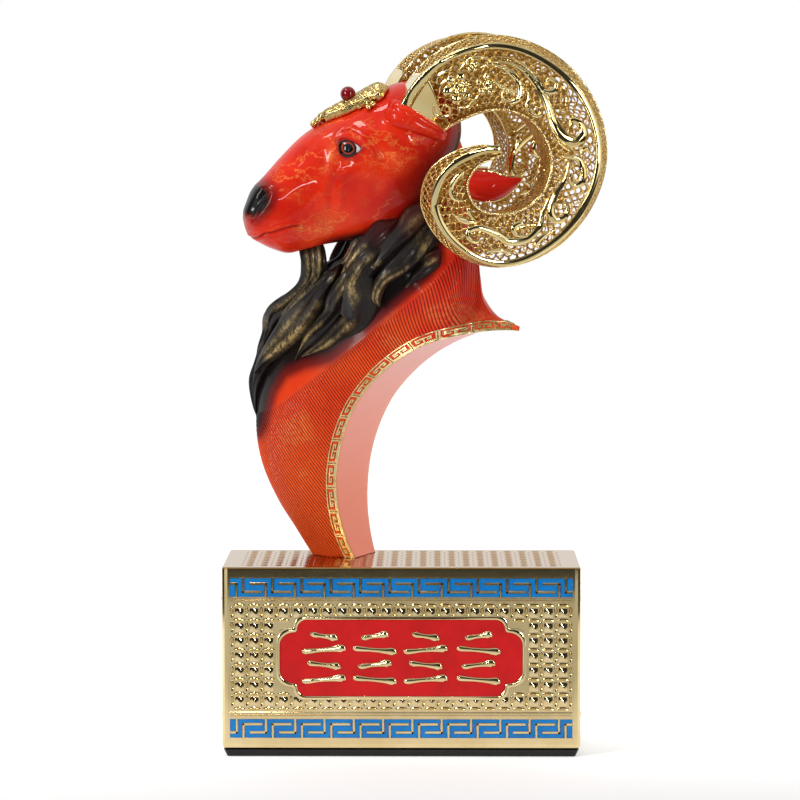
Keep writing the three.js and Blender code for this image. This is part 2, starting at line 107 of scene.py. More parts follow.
def carry(path, up, profile):
    """A profile carried along a path: point = path + sideways * side + upwards * up, where side is up x
    along."""
    along = unit(np.gradient(path, axis=-2))
    up = np.broadcast_to(up, path.shape)
    up = unit(up - along * (up * along).sum(-1, keepdims=True))
    side = np.cross(up, along)
    profile = np.broadcast_to(profile, path.shape[:-1] + np.shape(profile)[-2:])
    return path[..., None, :] + side[..., None, :] * profile[..., 0:1] + up[..., None, :] * profile[..., 1:2]


def loop_profile(wide, high, count, power=1.0):
    """Closed profile: wide * cos a and high * sin a, each to a power that squares it off."""
    a = (np.arange(count) + 0.5) * 2 * np.pi / count
    return stack(wide * signed(np.cos(a), power), high * signed(np.sin(a), power))


def ball(polar, sides):
    """A ball of radius 1 as rings of points, one ring at each angle from its top."""
    p, a = np.meshgrid(polar, turns(sides), indexing="ij")
    return stack(np.sin(p) * np.cos(a), np.sin(p) * np.sin(a), np.cos(p))


def from_line(s, h, line):
    """Distance of each point (s, h) from a line of joined straight runs."""
    best = np.full(np.shape(s), 1e9)
    for (a, b), (c, d) in zip(line[:-1], line[1:]):
        t = np.clip(((s - a) * (c - a) + (h - b) * (d - b)) / ((c - a) ** 2 + (d - b) ** 2), 0, 1)
        best = np.minimum(best, np.hypot(s - a - t * (c - a), h - b - t * (d - b)))
    return best


AXIS_X, AXIS_Y, ROLL_Z = 10, 4, 250
NECK_TURN, HEAD_MORE, HEAD_ROLL = -19.3, 32.8, 3.5


def attitude(p):
    """Turns the straight bust about its upright axis and tilts the head; both grow with height."""
    x, y, z = p[..., 0], p[..., 1], p[..., 2]
    w = ease(208, ROLL_Z, z)
    turn = np.radians(NECK_TURN + HEAD_MORE * w)
    roll = np.radians(HEAD_ROLL * w)
    y1 = y * np.cos(roll) - (z - ROLL_Z) * np.sin(roll)
    return stack(AXIS_X + x * np.cos(turn) - y1 * np.sin(turn), AXIS_Y + x * np.sin(turn) + y1 * np.cos(turn),
                 ROLL_Z + y * np.sin(roll) + (z - ROLL_Z) * np.cos(roll))


def mirrored(p):
    """The same point of the straight bust on its far side."""
    return p * np.array([1.0, -1.0, 1.0])


def far_attitude(p):
    """A near point mirrored to the far side and turned with it."""
    return attitude(mirrored(p))


class Shell:
    """Gathers stacks of strips into one mesh, with a few numbers kept for each point."""

    def __init__(self, *marks):
        self.points, self.faces, self.count = [], [], 0
        self.marks = {name: [] for name in marks}

    def strips(self, grid, around=True, joined=False, flip=False, **marks):
        """grid holds strips x rings x points; around closes each ring, joined closes the strip on itself.
        A strip that is closed all round faces outwards, by the sign of the volume inside it."""
        grid = grid[None] if grid.ndim == 3 else grid
        b, n, k, _ = grid.shape
        index = self.count + np.arange(b * n * k).reshape(b, n, k)
        rows = np.concatenate([index, index[:, :1]], 1) if joined else index
        rows = np.concatenate([rows, rows[:, :, :1]], 2) if around else rows
        quads = np.stack([rows[:, :-1, :-1], rows[:, :-1, 1:], rows[:, 1:, 1:], rows[:, 1:, :-1]], -1)
        new = [quads.reshape(-1, 4)]
        if around and not joined:
            new += [index[:, 0, ::-1], index[:, -1]]
        if around:
            middles = np.repeat(grid.reshape(b, -1, 3).mean(1), len(new[0]) // b, 0)
            q = grid.reshape(-1, 3)[new[0] - self.count] - middles[:, None]
            flip = np.einsum("ij,ij->i", q[:, 0], np.cross(q[:, 1], q[:, 2])).sum() < 0
        self.faces += [f[:, ::-1] if flip else f for f in new]
        self.points.append(grid.reshape(-1, 3))
        for name, kept in self.marks.items():
            kept.append(np.broadcast_to(marks.get(name, 0.0), (b, n, k)).reshape(-1))
        self.count += b * n * k

    def both(self, grid, **rest):
        """Adds a strip of the near side and its mirror image on the far side, each turned to its
        attitude."""
        self.strips(attitude(grid), **rest)
        self.strips(far_attitude(grid), flip=True, **rest)


def make(name, shell, finish, replaces=(), crisp=None):
    """Puts a shell into a mesh in metres, gives it its finish and lets it ride on the root; crisp is the
    angle in degrees from which its edges stay sharp."""
    mesh = bpy.data.meshes.new(name)
    points = np.concatenate(shell.points) * 0.001
    mesh.vertices.add(len(points))
    mesh.vertices.foreach_set("co", points.astype(np.float32).ravel())
    totals = np.concatenate([np.full(len(f), f.shape[1]) for f in shell.faces])
    mesh.loops.add(int(totals.sum()))
    mesh.loops.foreach_set("vertex_index", np.concatenate([f.ravel() for f in shell.faces]).astype(np.int32))
    mesh.polygons.add(len(totals))
    mesh.polygons.foreach_set("loop_start", np.concatenate([[0], np.cumsum(totals)[:-1]]).astype(np.int32))
    mesh.update(calc_edges=True)
    mesh.validate()
    for mark, kept in shell.marks.items():
        layer = mesh.attributes.new(mark, "FLOAT", "POINT")
        layer.data.foreach_set("value", np.concatenate(kept).astype(np.float32))
    mesh.polygons.foreach_set("use_smooth", np.ones(len(mesh.polygons), bool))
    if crisp:
        mesh.set_sharp_from_angle(angle=math.radians(crisp))
    thing = bpy.data.objects.new(name, mesh)
    bpy.context.scene.collection.objects.link(thing)
    mesh.materials.append(finish)
    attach(thing, "root")
    if replaces:
        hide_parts(*replaces)


# Finishes
class Finish:
    """A material's nodes, made in the order of the work: colour, then gloss, then relief."""

    def __init__(self, name, rough, metal=0.0, coat=0.0, coat_rough=0.05, sheen=0.5):
        self.material = bpy.data.materials.new(name)
        self.material.use_nodes = True
        self.tree = self.material.node_tree
        self.body = self.tree.nodes["Principled BSDF"]
        for socket, value in (("Roughness", rough), ("Metallic", metal), ("Coat Weight", coat),
                              ("Coat Roughness", coat_rough), ("Specular IOR Level", sheen)):
            self.body.inputs[socket].default_value = value
        self.place = self.tree.nodes.new("ShaderNodeTexCoord").outputs["Object"]

    def node(self, kind, **inputs):
        """Adds a node; each input is named with _ for a space."""
        made = self.tree.nodes.new(kind)
        for name, value in inputs.items():
            self.put(made.inputs[name.replace("_", " ")], value)
        return made

    def put(self, socket, value):
        """Links a socket to a socket, or gives it a number or a colour."""
        if isinstance(value, bpy.types.NodeSocket):
            self.tree.links.new(value, socket)
        elif isinstance(value, (tuple, list)) and len(value) == 3 and socket.type == "RGBA":
            socket.default_value = (*value, 1.0)
        else:
            socket.default_value = value

    def noise(self, scale, detail=3.0, rough=0.55, stretch=None):
        """Noise with scale waves to the metre; stretch is three scales and three turns of its pattern."""
        place = self.place
        if stretch:
            mapping = self.node("ShaderNodeMapping", Vector=place, Scale=stretch[:3], Rotation=stretch[3:])
            place = mapping.outputs[0]
        return self.node("ShaderNodeTexNoise", Vector=place, Scale=scale, Detail=detail,
                         Roughness=rough).outputs["Fac"]

    def mark(self, name):
        """The number that the shell keeps for each point under this name."""
        made = self.tree.nodes.new("ShaderNodeAttribute")
        made.attribute_name = name
        return made.outputs["Fac"]

    def along(self, axis):
        """The place along one axis, in metres."""
        return self.node("ShaderNodeSeparateXYZ", Vector=self.place).outputs[axis]

    def span(self, value, low, high, to_low=0.0, to_high=1.0, smooth=True):
        """Turns the range low to high into to_low to to_high, by a smooth step or in a straight line."""
        made = self.tree.nodes.new("ShaderNodeMapRange")
        made.interpolation_type = "SMOOTHSTEP" if smooth else "LINEAR"
        for i, v in enumerate((value, low, high, to_low, to_high)):
            self.put(made.inputs[i], v)
        return made.outputs["Result"]

    def math(self, how, a, b=0.0):
        """One sum, by its name in the maths node."""
        made = self.tree.nodes.new("ShaderNodeMath")
        made.operation = how
        self.put(made.inputs[0], a)
        self.put(made.inputs[1], b)
        return made.outputs[0]

    def times(self, first, *others):
        """The product of sockets and numbers."""
        for other in others:
            first = self.math("MULTIPLY", first, other)
        return first

    def mix(self, share, a, b):
        """Colour a where share is 0, b where it is 1."""
        made = self.tree.nodes.new("ShaderNodeMix")
        made.data_type = "RGBA"
        self.put(made.inputs[0], share)
        self.put(made.inputs[6], a)
        self.put(made.inputs[7], b)
        return made.outputs[2]

    def steps(self, value, stops):
        """Bands of flat colour, each from its stop to the next."""
        made = self.node("ShaderNodeValToRGB", Fac=value)
        ramp = made.color_ramp
        ramp.interpolation = "CONSTANT"
        while len(ramp.elements) < len(stops):
            ramp.elements.new(0.5)
        for element, (at, colour) in zip(ramp.elements, stops):
            element.position = at
            element.color = (*colour, 1.0)
        return made.outputs["Color"]

    def bump(self, height, strength, distance):
        """Small relief; distance in metres."""
        made = self.node("ShaderNodeBump", Height=height, Strength=strength, Distance=distance)
        self.tree.links.new(made.outputs[0], self.body.inputs["Normal"])

    def set(self, **values):
        """Sets or links inputs of the surface and gives the material."""
        for name, value in values.items():
            self.put(self.body.inputs[name.replace("_", " ")], value)
        return self.material


def red_lacquer(name):
    """Glossy red over gold dust: fine veins and clouds of dust show through. Black paint darkens the nose;
    painted shade darkens the underside of the jaw and deepens the red in the folds."""
    f = Finish(name, rough=0.42, coat=0.36, coat_rough=0.012, sheen=0.05)
    cloud = f.noise(30, 4, 0.6)
    red = f.mix(f.span(cloud, 0.32, 0.7), (0.54, 0.01, 0.004), (0.76, 0.03, 0.006))
    grain = f.span(f.noise(1500, 3, 0.8), 0.4, 0.6)
    vein = f.math("ABSOLUTE", f.math("SUBTRACT", f.noise(38, 7, 0.6, (1.0, 1.0, 1.6, 0.0, 0.6, 0.0)), 0.5))
    vein = f.span(vein, 0.0, 0.024, 0.75, 0.0)
    haze = f.times(f.span(f.noise(36, 4, 0.6), 0.46, 0.7), 0.55)
    dust = f.times(f.math("ADD", vein, haze), f.mark("dust"), grain)
    colour = f.mix(dust, red, (0.8, 0.27, 0.06))
    # Painted shade in the folds and behind the jaw: a dark red where the deep mark is high.
    colour = f.mix(f.mark("deep"), colour, (0.2, 0.003, 0.006))
    # Near black where the black paint and shade mark is high: real paint on the nose, painted shade under and
    # behind the jaw.
    colour = f.mix(f.mark("soot"), colour, (0.006, 0.004, 0.004))
    f.bump(f.noise(160, 3), 0.08, 0.0004)
    return f.set(Base_Color=colour, Metallic=f.times(dust, 0.4))


def neck_lacquer(name):
    """The same lacquer, red under the head and orange at the foot. Painted shade, with dark paint, lies
    behind the beard; the grooves between the ribs are painted darker as painted shade; the back face is
    painted pale salmon as a painted reflection.
    """
    f = Finish(name, rough=0.4, coat=0.1, coat_rough=0.1, sheen=0.1)
    rise = f.span(f.along("Z"), 0.1, 0.235)
    cloud = f.span(f.noise(30, 5, 0.65), 0.35, 0.72)
    red = f.mix(rise, (0.72, 0.075, 0.007), (0.66, 0.02, 0.006))
    red = f.mix(f.times(cloud, 0.5), red, (0.86, 0.12, 0.014))
    ridge = f.mark("ridge")
    # Painted shade: in the grooves between the ribs, where the ridge mark is low, the red is painted nearly
    # black.
    red = f.mix(ridge, f.mix(0.8, red, (0.1, 0.003, 0.002)), red)
    gilt = f.times(f.span(f.noise(26, 2), 0.56, 0.66), f.span(f.noise(500, 3), 0.35, 0.6), ridge, 0.22)
    colour = f.mix(gilt, red, (0.75, 0.42, 0.12))
    # Painted reflection: the back face is painted pale salmon, greyer pink higher up, for the white room seen
    # in its gloss.
    colour = f.mix(f.mark("back"), colour, f.mix(rise, (0.97, 0.28, 0.165), (0.78, 0.33, 0.28)))
    # Painted shade behind the beard, with dark paint: first a dark red, then near black.
    colour = f.mix(f.span(f.mark("soot"), 0.0, 0.55), colour, (0.14, 0.006, 0.004))
    colour = f.mix(f.span(f.mark("soot"), 0.5, 1.0), colour, (0.006, 0.003, 0.003))
    f.bump(f.noise(220, 2), 0.06, 0.0003)
    return f.set(Base_Color=colour)


def beard_bronze(name):
    """Near-black brown with bronze rubbed on the ridges of the locks, in patches and fine slanting
    strokes."""
    f = Finish(name, rough=0.36, coat=0.14, coat_rough=0.1, sheen=0.14)
    grain = f.span(f.noise(620, 5, 0.75, (1.0, 1.0, 0.5, 0.0, 0.6, 0.0)), 0.34, 0.6)
    patch = f.span(f.noise(46, 3), 0.4, 0.64)
    rubbed = f.times(f.mark("ridge"), f.mark("ridge"), f.times(grain, patch))
    brown = f.mix(f.noise(70, 3), (0.004, 0.004, 0.005), (0.016, 0.011, 0.009))
    colour = f.mix(rubbed, brown, (0.44, 0.31, 0.13))
    colour = f.mix(f.mark("warm"), colour, (0.07, 0.006, 0.005))
    f.bump(f.noise(420, 3, 0.6, (1.0, 1.0, 0.5, 0.0, 0.6, 0.0)), 0.15, 0.0004)
    return f.set(Base_Color=colour, Metallic=f.times(rubbed, 0.6))


def gold(name, rough, colour, dark, ripple, grain=120):
    """Polished plating, a little browner in patches, with a faint unevenness from the casting."""
    f = Finish(name, rough=rough, metal=1.0)
    shade = f.span(f.noise(grain, 3), 0.35, 0.7)
    f.bump(f.noise(grain * 2.2, 2), ripple, 0.0004)
    return f.set(Base_Color=f.mix(shade, dark, colour),
                 Roughness=f.span(f.noise(grain * 3, 2), 0.3, 0.7, rough * 0.7, rough * 1.5))


def plinth_plating(name):
    """Paler plating for the plinth; on its top face, higher than 94 mm, it is painted browner, a painted
    shade of that face.
    """
    f = Finish(name, rough=0.08, metal=1.0)
    pale = f.mix(f.span(f.noise(50, 3), 0.35, 0.7), (0.68, 0.54, 0.28), (0.76, 0.62, 0.35))
    f.bump(f.noise(110, 2), 0.03, 0.0004)
    # Painted shade: above 94 mm, on the top face, the plating is painted a dark brown.
    return f.set(Base_Color=f.mix(f.span(f.along("Z"), 0.0938, 0.0954), pale, (0.46, 0.27, 0.1)))


def enamel(name, colour, deep, rough=0.22):
    """Fired enamel: one colour with a slight cloud, glossy and just uneven."""
    f = Finish(name, rough=rough, coat=0.2, coat_rough=0.08, sheen=0.2)
    f.bump(f.noise(260, 2), 0.1, 0.0003)
    return f.set(Base_Color=f.mix(f.span(f.noise(90, 3), 0.3, 0.7), deep, colour))


lacquer = red_lacquer("red_lacquer_gold_dust")
neck_red = neck_lacquer("red_to_orange_lacquer")
bronze = beard_bronze("black_bronze_rubbed")
polished = gold("gold_polished", 0.06, (0.86, 0.71, 0.36), (0.8, 0.62, 0.27), 0.03, 60)
wire_gold = gold("gold_wire", 0.26, (0.76, 0.54, 0.21), (0.58, 0.35, 0.09), 0.05)
# Painted shade: a darker, browner, rougher copy of the wire gold, for the wires inside the horn's hollow.
wire_gold_painted_shade = gold("gold_wire_inner_painted_shade", 0.42, (0.6, 0.36, 0.085), (0.44, 0.23, 0.035), 0.05)
plinth_gold = plinth_plating("gold_plinth")
key_gold = gold("gold_key_border", 0.34, (0.84, 0.72, 0.4), (0.7, 0.54, 0.24), 0.08, 200)
granulated = gold("gold_granulated", 0.2, (0.74, 0.56, 0.24), (0.56, 0.36, 0.11), 0.5, 300)
blue = enamel("blue_enamel", (0.003, 0.18, 0.52), (0.003, 0.14, 0.42))
tablet_red = enamel("red_enamel", (0.53, 0.003, 0.004), (0.44, 0.002, 0.003), 0.35)

# Camera, light, floor
# The camera stands in front, level with the brow, and looks a little down and to the left.
CAMERA_PLACE = (0.016, -1.866, 0.3098)
LOOK_DOWN, LOOK_LEFT = 4.078, 0.52
FOCAL_LENGTH, PICTURE_WIDTH = 3673, 800  # both in pixels
SENSOR_WIDTH = 36.0  # millimetres

camera = bpy.data.objects.new("camera", bpy.data.cameras.new("camera"))
bpy.context.scene.collection.objects.link(camera)
camera.location = CAMERA_PLACE
camera.rotation_euler = (math.radians(90 - LOOK_DOWN), 0, math.radians(LOOK_LEFT))
camera.data.sensor_width = SENSOR_WIDTH
camera.data.lens = FOCAL_LENGTH * SENSOR_WIDTH / PICTURE_WIDTH
camera.data.clip_start = 0.1
bpy.context.scene.camera = camera


def soft_light(name, place, aim, size, power):
    """A white rectangular light at a place in metres, turned towards its aim; size is width and height."""
    lamp = bpy.data.lights.new(name, "AREA")
    lamp.shape = "RECTANGLE"
    lamp.size, lamp.size_y = size
    lamp.energy = power
    thing = bpy.data.objects.new(name, lamp)
    bpy.context.scene.collection.objects.link(thing)
    back = np.array(place, float) - np.array(aim, float)
    thing.location = place
    flat = math.hypot(back[0], back[1])
    thing.rotation_euler = (math.atan2(flat, back[2]), 0, math.atan2(back[0], -back[1]))


soft_light("box_left", (-0.95, -0.95, 0.72), (0, 0, 0.22), (0.15, 0.75), 9.5)
soft_light("box_right", (0.74, -1.05, 0.52), (0, 0, 0.2), (0.09, 0.5), 5.0)
soft_light("box_above", (-0.45, -0.2, 1.2), (0, 0, 0.2), (0.22, 0.2), 2.6)
soft_light("strip_left", (-0.13, -1.2, 0.34), (-0.03, 0, 0.27), (0.02, 0.5), 1.0)


def studio_air():
    """White backdrop behind, a ceiling, a soft box on each side of the front and dark gaps between them.
    Each is a product of smooth steps of the direction's x, y and z; the camera itself sees plain white."""
    world = bpy.data.worlds.new("studio")
    bpy.context.scene.world = world
    world.use_nodes = True
    tree = world.node_tree
    shade = tree.nodes["Background"]
    way = tree.nodes.new("ShaderNodeTexCoord")
    split = tree.nodes.new("ShaderNodeSeparateXYZ")
    tree.links.new(way.outputs["Generated"], split.inputs[0])
    x, y, z = split.outputs

    def span(value, low, high, to_low, to_high):
        """The range low to high turned into to_low to to_high by a smooth step."""
        made = tree.nodes.new("ShaderNodeMapRange")
        made.interpolation_type = "SMOOTHSTEP"
        tree.links.new(value, made.inputs[0])
        for i, v in enumerate((low, high, to_low, to_high)):
            made.inputs[i + 1].default_value = v
        return made.outputs[0]

    def both(how, a, b):
        """One sum of two numbers or sockets."""
        made = tree.nodes.new("ShaderNodeMath")
        made.operation = how
        for i, v in enumerate((a, b)):
            if isinstance(v, float):
                made.inputs[i].default_value = v
            else:
                tree.links.new(v, made.inputs[i])
        return made.outputs[0]

    behind = span(y, 0.1, 0.3, 0.0, 0.9)
    above = span(z, 0.56, 0.8, 0.0, 0.6)
    right_wider = both("ADD", 1.0, both("MULTIPLY", span(x, 0.0, 0.1, 0.0, 1.0), -0.2))
    aside = both("MULTIPLY", both("ABSOLUTE", x, 0.0), right_wider)
    across = both("MULTIPLY", span(aside, 0.48, 0.54, 0.0, 1.0), span(aside, 0.84, 0.9, 1.0, 0.0))
    upwards = both("MULTIPLY", span(z, -0.22, -0.12, 0.0, 1.1), span(z, 0.42, 0.52, 1.0, 0.0))
    boxes = both("MULTIPLY", both("MULTIPLY", across, upwards), span(y, -0.3, -0.2, 1.0, 0.0))
    gaps = 0.035
    room = both("ADD", both("MAXIMUM", both("MAXIMUM", behind, above), boxes), gaps)
    path = tree.nodes.new("ShaderNodeLightPath")
    pick = tree.nodes.new("ShaderNodeMix")
    tree.links.new(path.outputs["Is Camera Ray"], pick.inputs[0])
    tree.links.new(room, pick.inputs[2])
    pick.inputs[3].default_value = 1.0
    tree.links.new(pick.outputs[0], shade.inputs["Strength"])
    shade.inputs["Color"].default_value = (1.0, 1.0, 1.0, 1.0)


studio_air()
bpy.context.scene.view_settings.view_transform = "Standard"

# The paper lies just under the board; it is greyer in front and glows behind, to run into the backdrop.
floor_shell = Shell()
x, y = np.meshgrid(np.linspace(-620, 620, 9), [-700.0, -400, -150, 0, 400, 1200, 3600], indexing="ij")
floor_shell.strips(stack(x, y, -0.2), around=False, flip=True)
floor_mesh = bpy.data.meshes.new("floor")
floor_mesh.from_pydata((np.concatenate(floor_shell.points) * 0.001).tolist(), [],
                       [q for f in floor_shell.faces for q in f.tolist()])
floor = bpy.data.objects.new("floor", floor_mesh)
bpy.context.scene.collection.objects.link(floor)
paper = Finish("pale_paper", rough=0.9, sheen=0.1)
deep = paper.along("Y")
floor_mesh.materials.append(paper.set(
    Base_Color=paper.mix(paper.span(deep, -0.32, -0.12), (0.5, 0.495, 0.48), (0.92, 0.92, 0.92)),
    Emission_Color=(1.0, 1.0, 1.0), Emission_Strength=paper.span(deep, -0.15, 0.05, 0.0, 0.5)))

# Head
# Each row: place along the head's axis, top and bottom of the section, and half its width.
HEAD = [[-4.1, -7.6, -9.4, 1.6], [-3.2, -4.4, -12.6, 6], [-1, 1, -16.5, 10.5], [3, 4.8, -22, 13.2],
        [9, 9.2, -27.8, 15.2], [18, 12.2, -30.4, 16.3], [30, 16.4, -34, 18], [43, 20, -39, 20.8],
        [56, 21.3, -44.2, 24], [69, 21, -46.6, 26], [81, 20.8, -43.5, 26], [94, 20.9, -34, 25],
        [106, 17.5, -27, 21.5], [114, 9.5, -20, 15], [119, -2, -12, 5], [120.5, -5, -9, 0.8]]
SLOPE = math.radians(29)
NOSE_X, NOSE_Z = -90.8, 272
SIDE_POWER, TOP_POWER, TOP_WIDER = 0.85, 0.92, 0.12


def on_head(s, h, y):
    """A point s along the head's axis from the nose, h above the axis and y to the side."""
    return stack(NOSE_X + s * math.cos(SLOPE) - h * math.sin(SLOPE), y,
                 NOSE_Z + s * math.sin(SLOPE) + h * math.cos(SLOPE))


def head_ring(place, a, out=0.0):
    """The head's section at a place: half width * cos a, and half height * sin a about its middle, both
    squared off a little and the width greater above."""
    s, top, bottom, half = columns(HEAD, place)
    y = (half + out) * signed(np.cos(a), SIDE_POWER) * (1 + TOP_WIDER * np.sin(a))
    h = (top + bottom) / 2 + ((top - bottom) / 2 + out) * signed(np.sin(a), TOP_POWER)
    return s, h, y


def head_side(s, h):
    """How far out the head's side lies at s and h, the same section turned round."""
    _, top, bottom, half = table(HEAD, s)
    q = signed(np.clip((2 * h - top - bottom) / (top - bottom), -1, 1), 1 / TOP_POWER)
    return half * (1 - q * q) ** (SIDE_POWER / 2) * (1 + TOP_WIDER * q)


# Lines on the head's side, as places along its axis and heights above it.
MOUTH = [(-4.5, -11.6), (-2.4, -12.2), (1.5, -11.6), (5.8, -12.8), (10.7, -13.6), (15.6, -14.7),
         (18.2, -16.2)]
NOSTRIL = [(0.4, 0.2), (3, 2.4), (6, 4.4), (9.5, 6.2), (12, 7)]
WING = [(11.4, 9.4), (14, 8.6), (15, 6.2), (14.2, 3.4), (11.2, 1.2), (6.5, -1.4), (1.6, -3)]
UPPER_LID = [(51.8, 8.4), (53.4, 10.9), (56.4, 12.4), (59.6, 11.8), (62, 9), (64.6, 4)]
LOWER_LID = [(51.8, 8.4), (52, 5.6), (54.2, 3), (57.6, 1.9), (61.2, 2.4), (64.6, 4)]
LID_LINE = [(53.7, 9.3), (55.4, 11.5), (58, 11.7), (60.6, 10), (62, 7.4), (63.6, 3.6), (60.6, 3.1),
            (57.6, 2.8), (55, 3.4), (53.3, 5.6)]
EYE = (57.4, 7.5)
WRINKLES = [[(53.6, 12.9), (57, 15.2), (60.7, 16), (64.6, 14.9), (67, 11.8), (68.4, 6.4), (69, 0.6),
             (69.4, -4.6)],
            [(55.4, 12.8), (59, 13.9), (63, 12.6), (65.6, 9), (66.8, 4), (67.2, -1)]]


def head_relief(s, h):
    """How far the skin stands out from the plain section, as ridges and grooves about lines on the side."""
    lips = from_line(s, h, MOUTH)
    out = -0.95 * hill(lips, 0.5) + 0.4 * hill(lips - 1.5, 1.0)
    for high, wide, line in (
            (-2.6, 1.5, NOSTRIL), (0.7, 1.3, WING), (1.0, 0.85, UPPER_LID), (0.65, 0.75, LOWER_LID),
            (0.55, 0.9, WRINKLES[0]), (0.75, 0.9, WRINKLES[1]),
            (0.8, 2.4, [(50, 9), (46, 3), (42, -2), (36, -7), (35.6, -12)]),
            (-0.7, 2.2, [(45, -4), (40, -10), (37, -16)]), (0.9, 2.4, [(49, -3), (45, -9), (41, -16)]),
            (0.8, 4, [(24, -27), (40, -32), (56, -36)]), (1.1, 4.5, [(72, 9), (80, 3), (88, -6)])):
        out += high * hill(from_line(s, h, line), wide)
    out += 1.2 * hill(np.hypot(s - 66, (h + 14) * 0.8), 13) - 0.8 * hill(np.hypot(s - 54, h + 14), 8)
    out += 0.7 * hill(np.hypot(s - 82, h - 8), 2.0) - 0.9 * hill(np.hypot(s - 78, h - 12), 3.6)
    return out


def head_skin():
    """The head's section at 300 places, pushed out along its normal by head_relief. Black paint lies on the
    nose, and painted shade under and behind the jaw; painted shade deepens the red in folds and behind the
    jaw, and the red is also deeper on top of the nose; dust follows the muzzle, the cheek and the jaw's side."""
    place, a = np.meshgrid(np.linspace(0, 1, 300), turns(300), indexing="ij")
    s, h, y = head_ring(place, a)
    grid = on_head(s, h, y)
    across = np.roll(grid, -1, 1) - np.roll(grid, 1, 1)
    normal = unit(np.cross(np.gradient(grid, axis=0), across))
    facing = np.sign((normal[..., 1] * y).sum())
    grid = grid + normal * facing * (head_relief(s, h) * ease(0.12, 0.5, np.abs(np.cos(a))))[..., None]
    _, top, bottom, _ = table(HEAD, s)
    level = (h - bottom) / (top - bottom)
    nose = 1 - ease(0.66, 1.42, np.hypot((s - 4.5) / 9.6, (h - 6.5) / 9))
    # Painted shade on the underside of the head, reaching higher towards the back of the jaw.
    under = ease(20, 36, s) * (1 - ease(0.03, 0.14 + 0.42 * ease(60, 88, s), level))
    # One mark for the nose's black paint and the painted shade under and behind the jaw.
    soot = np.maximum(np.maximum(nose, under), 0.75 * ease(80, 96, s) * (1 - ease(-26, -14, h)))
    # Painted shade: the red is deepened in the creases of the nostril, mouth, wrinkles and lids, and behind
    # the jaw; on top of the nose it is a deeper red.
    deep = 0.8 * hill(from_line(s, h, WING), 3.4) + 0.6 * hill(from_line(s, h, MOUTH), 0.6)
    deep += 0.22 * sum(hill(from_line(s, h, line) - 1.3, 0.6) for line in WRINKLES)
    deep += 0.6 * hill(from_line(s, h, LID_LINE + LID_LINE[:1]) - 0.5, 0.7)
    deep += 0.5 * ease(60, 76, s) * (1 - ease(-30, -12, h)) + 0.25 * hill(h - top, 5) * ease(30, 10, s)
    dust = 1.2 * hill(np.hypot(s - 18.6, h + 17), 1.4)
    for much, wide, line in ((1.0, 8, [(14, 4), (30, 9), (46, 12)]), (1.0, 9, [(66, 8), (78, -4), (92, -2)]),
                             (0.8, 6, [(22, -20), (40, -24), (62, -28)])):
        dust += much * hill(from_line(s, h, line), wide)
    shell = Shell("soot", "deep", "dust")
    shell.strips(attitude(grid), soot=soot, deep=np.clip(deep, 0, 1) * (1 - soot),
                 dust=np.clip(0.2 + 0.8 * dust, 0, 1) * (1 - soot))
    return shell


def eye():
    """A shallow dome laid over the side: round the pupil at first, almond-shaped at its rim. Its mark is the
    distance from the pupil's centre; outside the iris it is held in the black ring, a painted shadow of the
    lid, except in the corner, which stays white; it is black along the rim."""
    rim = np.array(LID_LINE)
    turn = np.arctan2(rim[:, 1] - EYE[1], rim[:, 0] - EYE[0])
    order = np.argsort(turn)
    t, a = np.meshgrid(np.linspace(0.02, 1, 22), np.linspace(-np.pi, np.pi, 73)[:-1], indexing="ij")
    away = np.hypot(rim[order, 0] - EYE[0], rim[order, 1] - EYE[1])
    far = np.interp(a, turn[order], away, period=2 * np.pi)
    iris = np.minimum(4.1, far * 0.93)
    reach = np.where(t < 0.8, t / 0.8 * iris, iris + (t - 0.8) / 0.2 * (far - iris))
    s, h = EYE[0] + reach * np.cos(a), EYE[1] + reach * np.sin(a)
    y = -head_side(s, h) - 0.35 - 2.3 * (1 - (reach / (1.03 * far)) ** 2).clip(0)
    back = on_head(s, h, y + 2.5)
    grid = np.concatenate([back[:1], on_head(s, h, y), back[-1:]])
    # Painted shadow of the lid: outside the iris the mark falls back into the black ring, except in the white
    # corner.
    corner = ease(59.8, 60.6, s) * (t < 0.95)
    reach = np.where(reach > 4.15, 3.9 + (reach - 3.9) * corner, reach)
    reach = np.where(t >= 0.95, 3.8, reach)
    reach = np.concatenate([reach[:1], reach, reach[-1:]])
    shell = Shell("reach")
    shell.both(grid, reach=reach)
    return shell


def eye_finish(name):
    """Rings by distance from the pupil's centre: black, orange-red, black, then white."""
    f = Finish(name, rough=0.1, coat=0.4, coat_rough=0.02, sheen=0.15)
    ring = f.span(f.mark("reach"), 0.0, 8.0, smooth=False)
    colour = f.steps(ring, [(0.0, (0.004, 0.004, 0.005)), (0.29, (0.3, 0.03, 0.008)),
                            (0.39, (0.005, 0.005, 0.007)), (0.53, (0.6, 0.61, 0.63))])
    f.bump(f.noise(300, 2), 0.03, 0.0002)
    return f.set(Base_Color=colour)


def ear():
    """A leaf: a crescent section carried along a curve, widest in the middle; returns skin and rim line."""
    rows = [[8, -18, 289, 4.5], [17, -24, 289, 6.6], [26, -28.5, 287.5, 7.6], [34, -32, 288, 5.6],
            [43, -35, 292, 0.5]]
    path = through(rows, np.linspace(0, 1, 60))
    a = turns(32)
    flat = stack(np.cos(a), 0.3 * np.sin(a) - 0.42 * np.cos(a) ** 2 + 0.2)
    grid = carry(path[:, :3], np.array([0.5, -1.0, 0.0]), flat * path[:, 3, None, None])
    return grid, grid[:, 0], grid[:, 16]


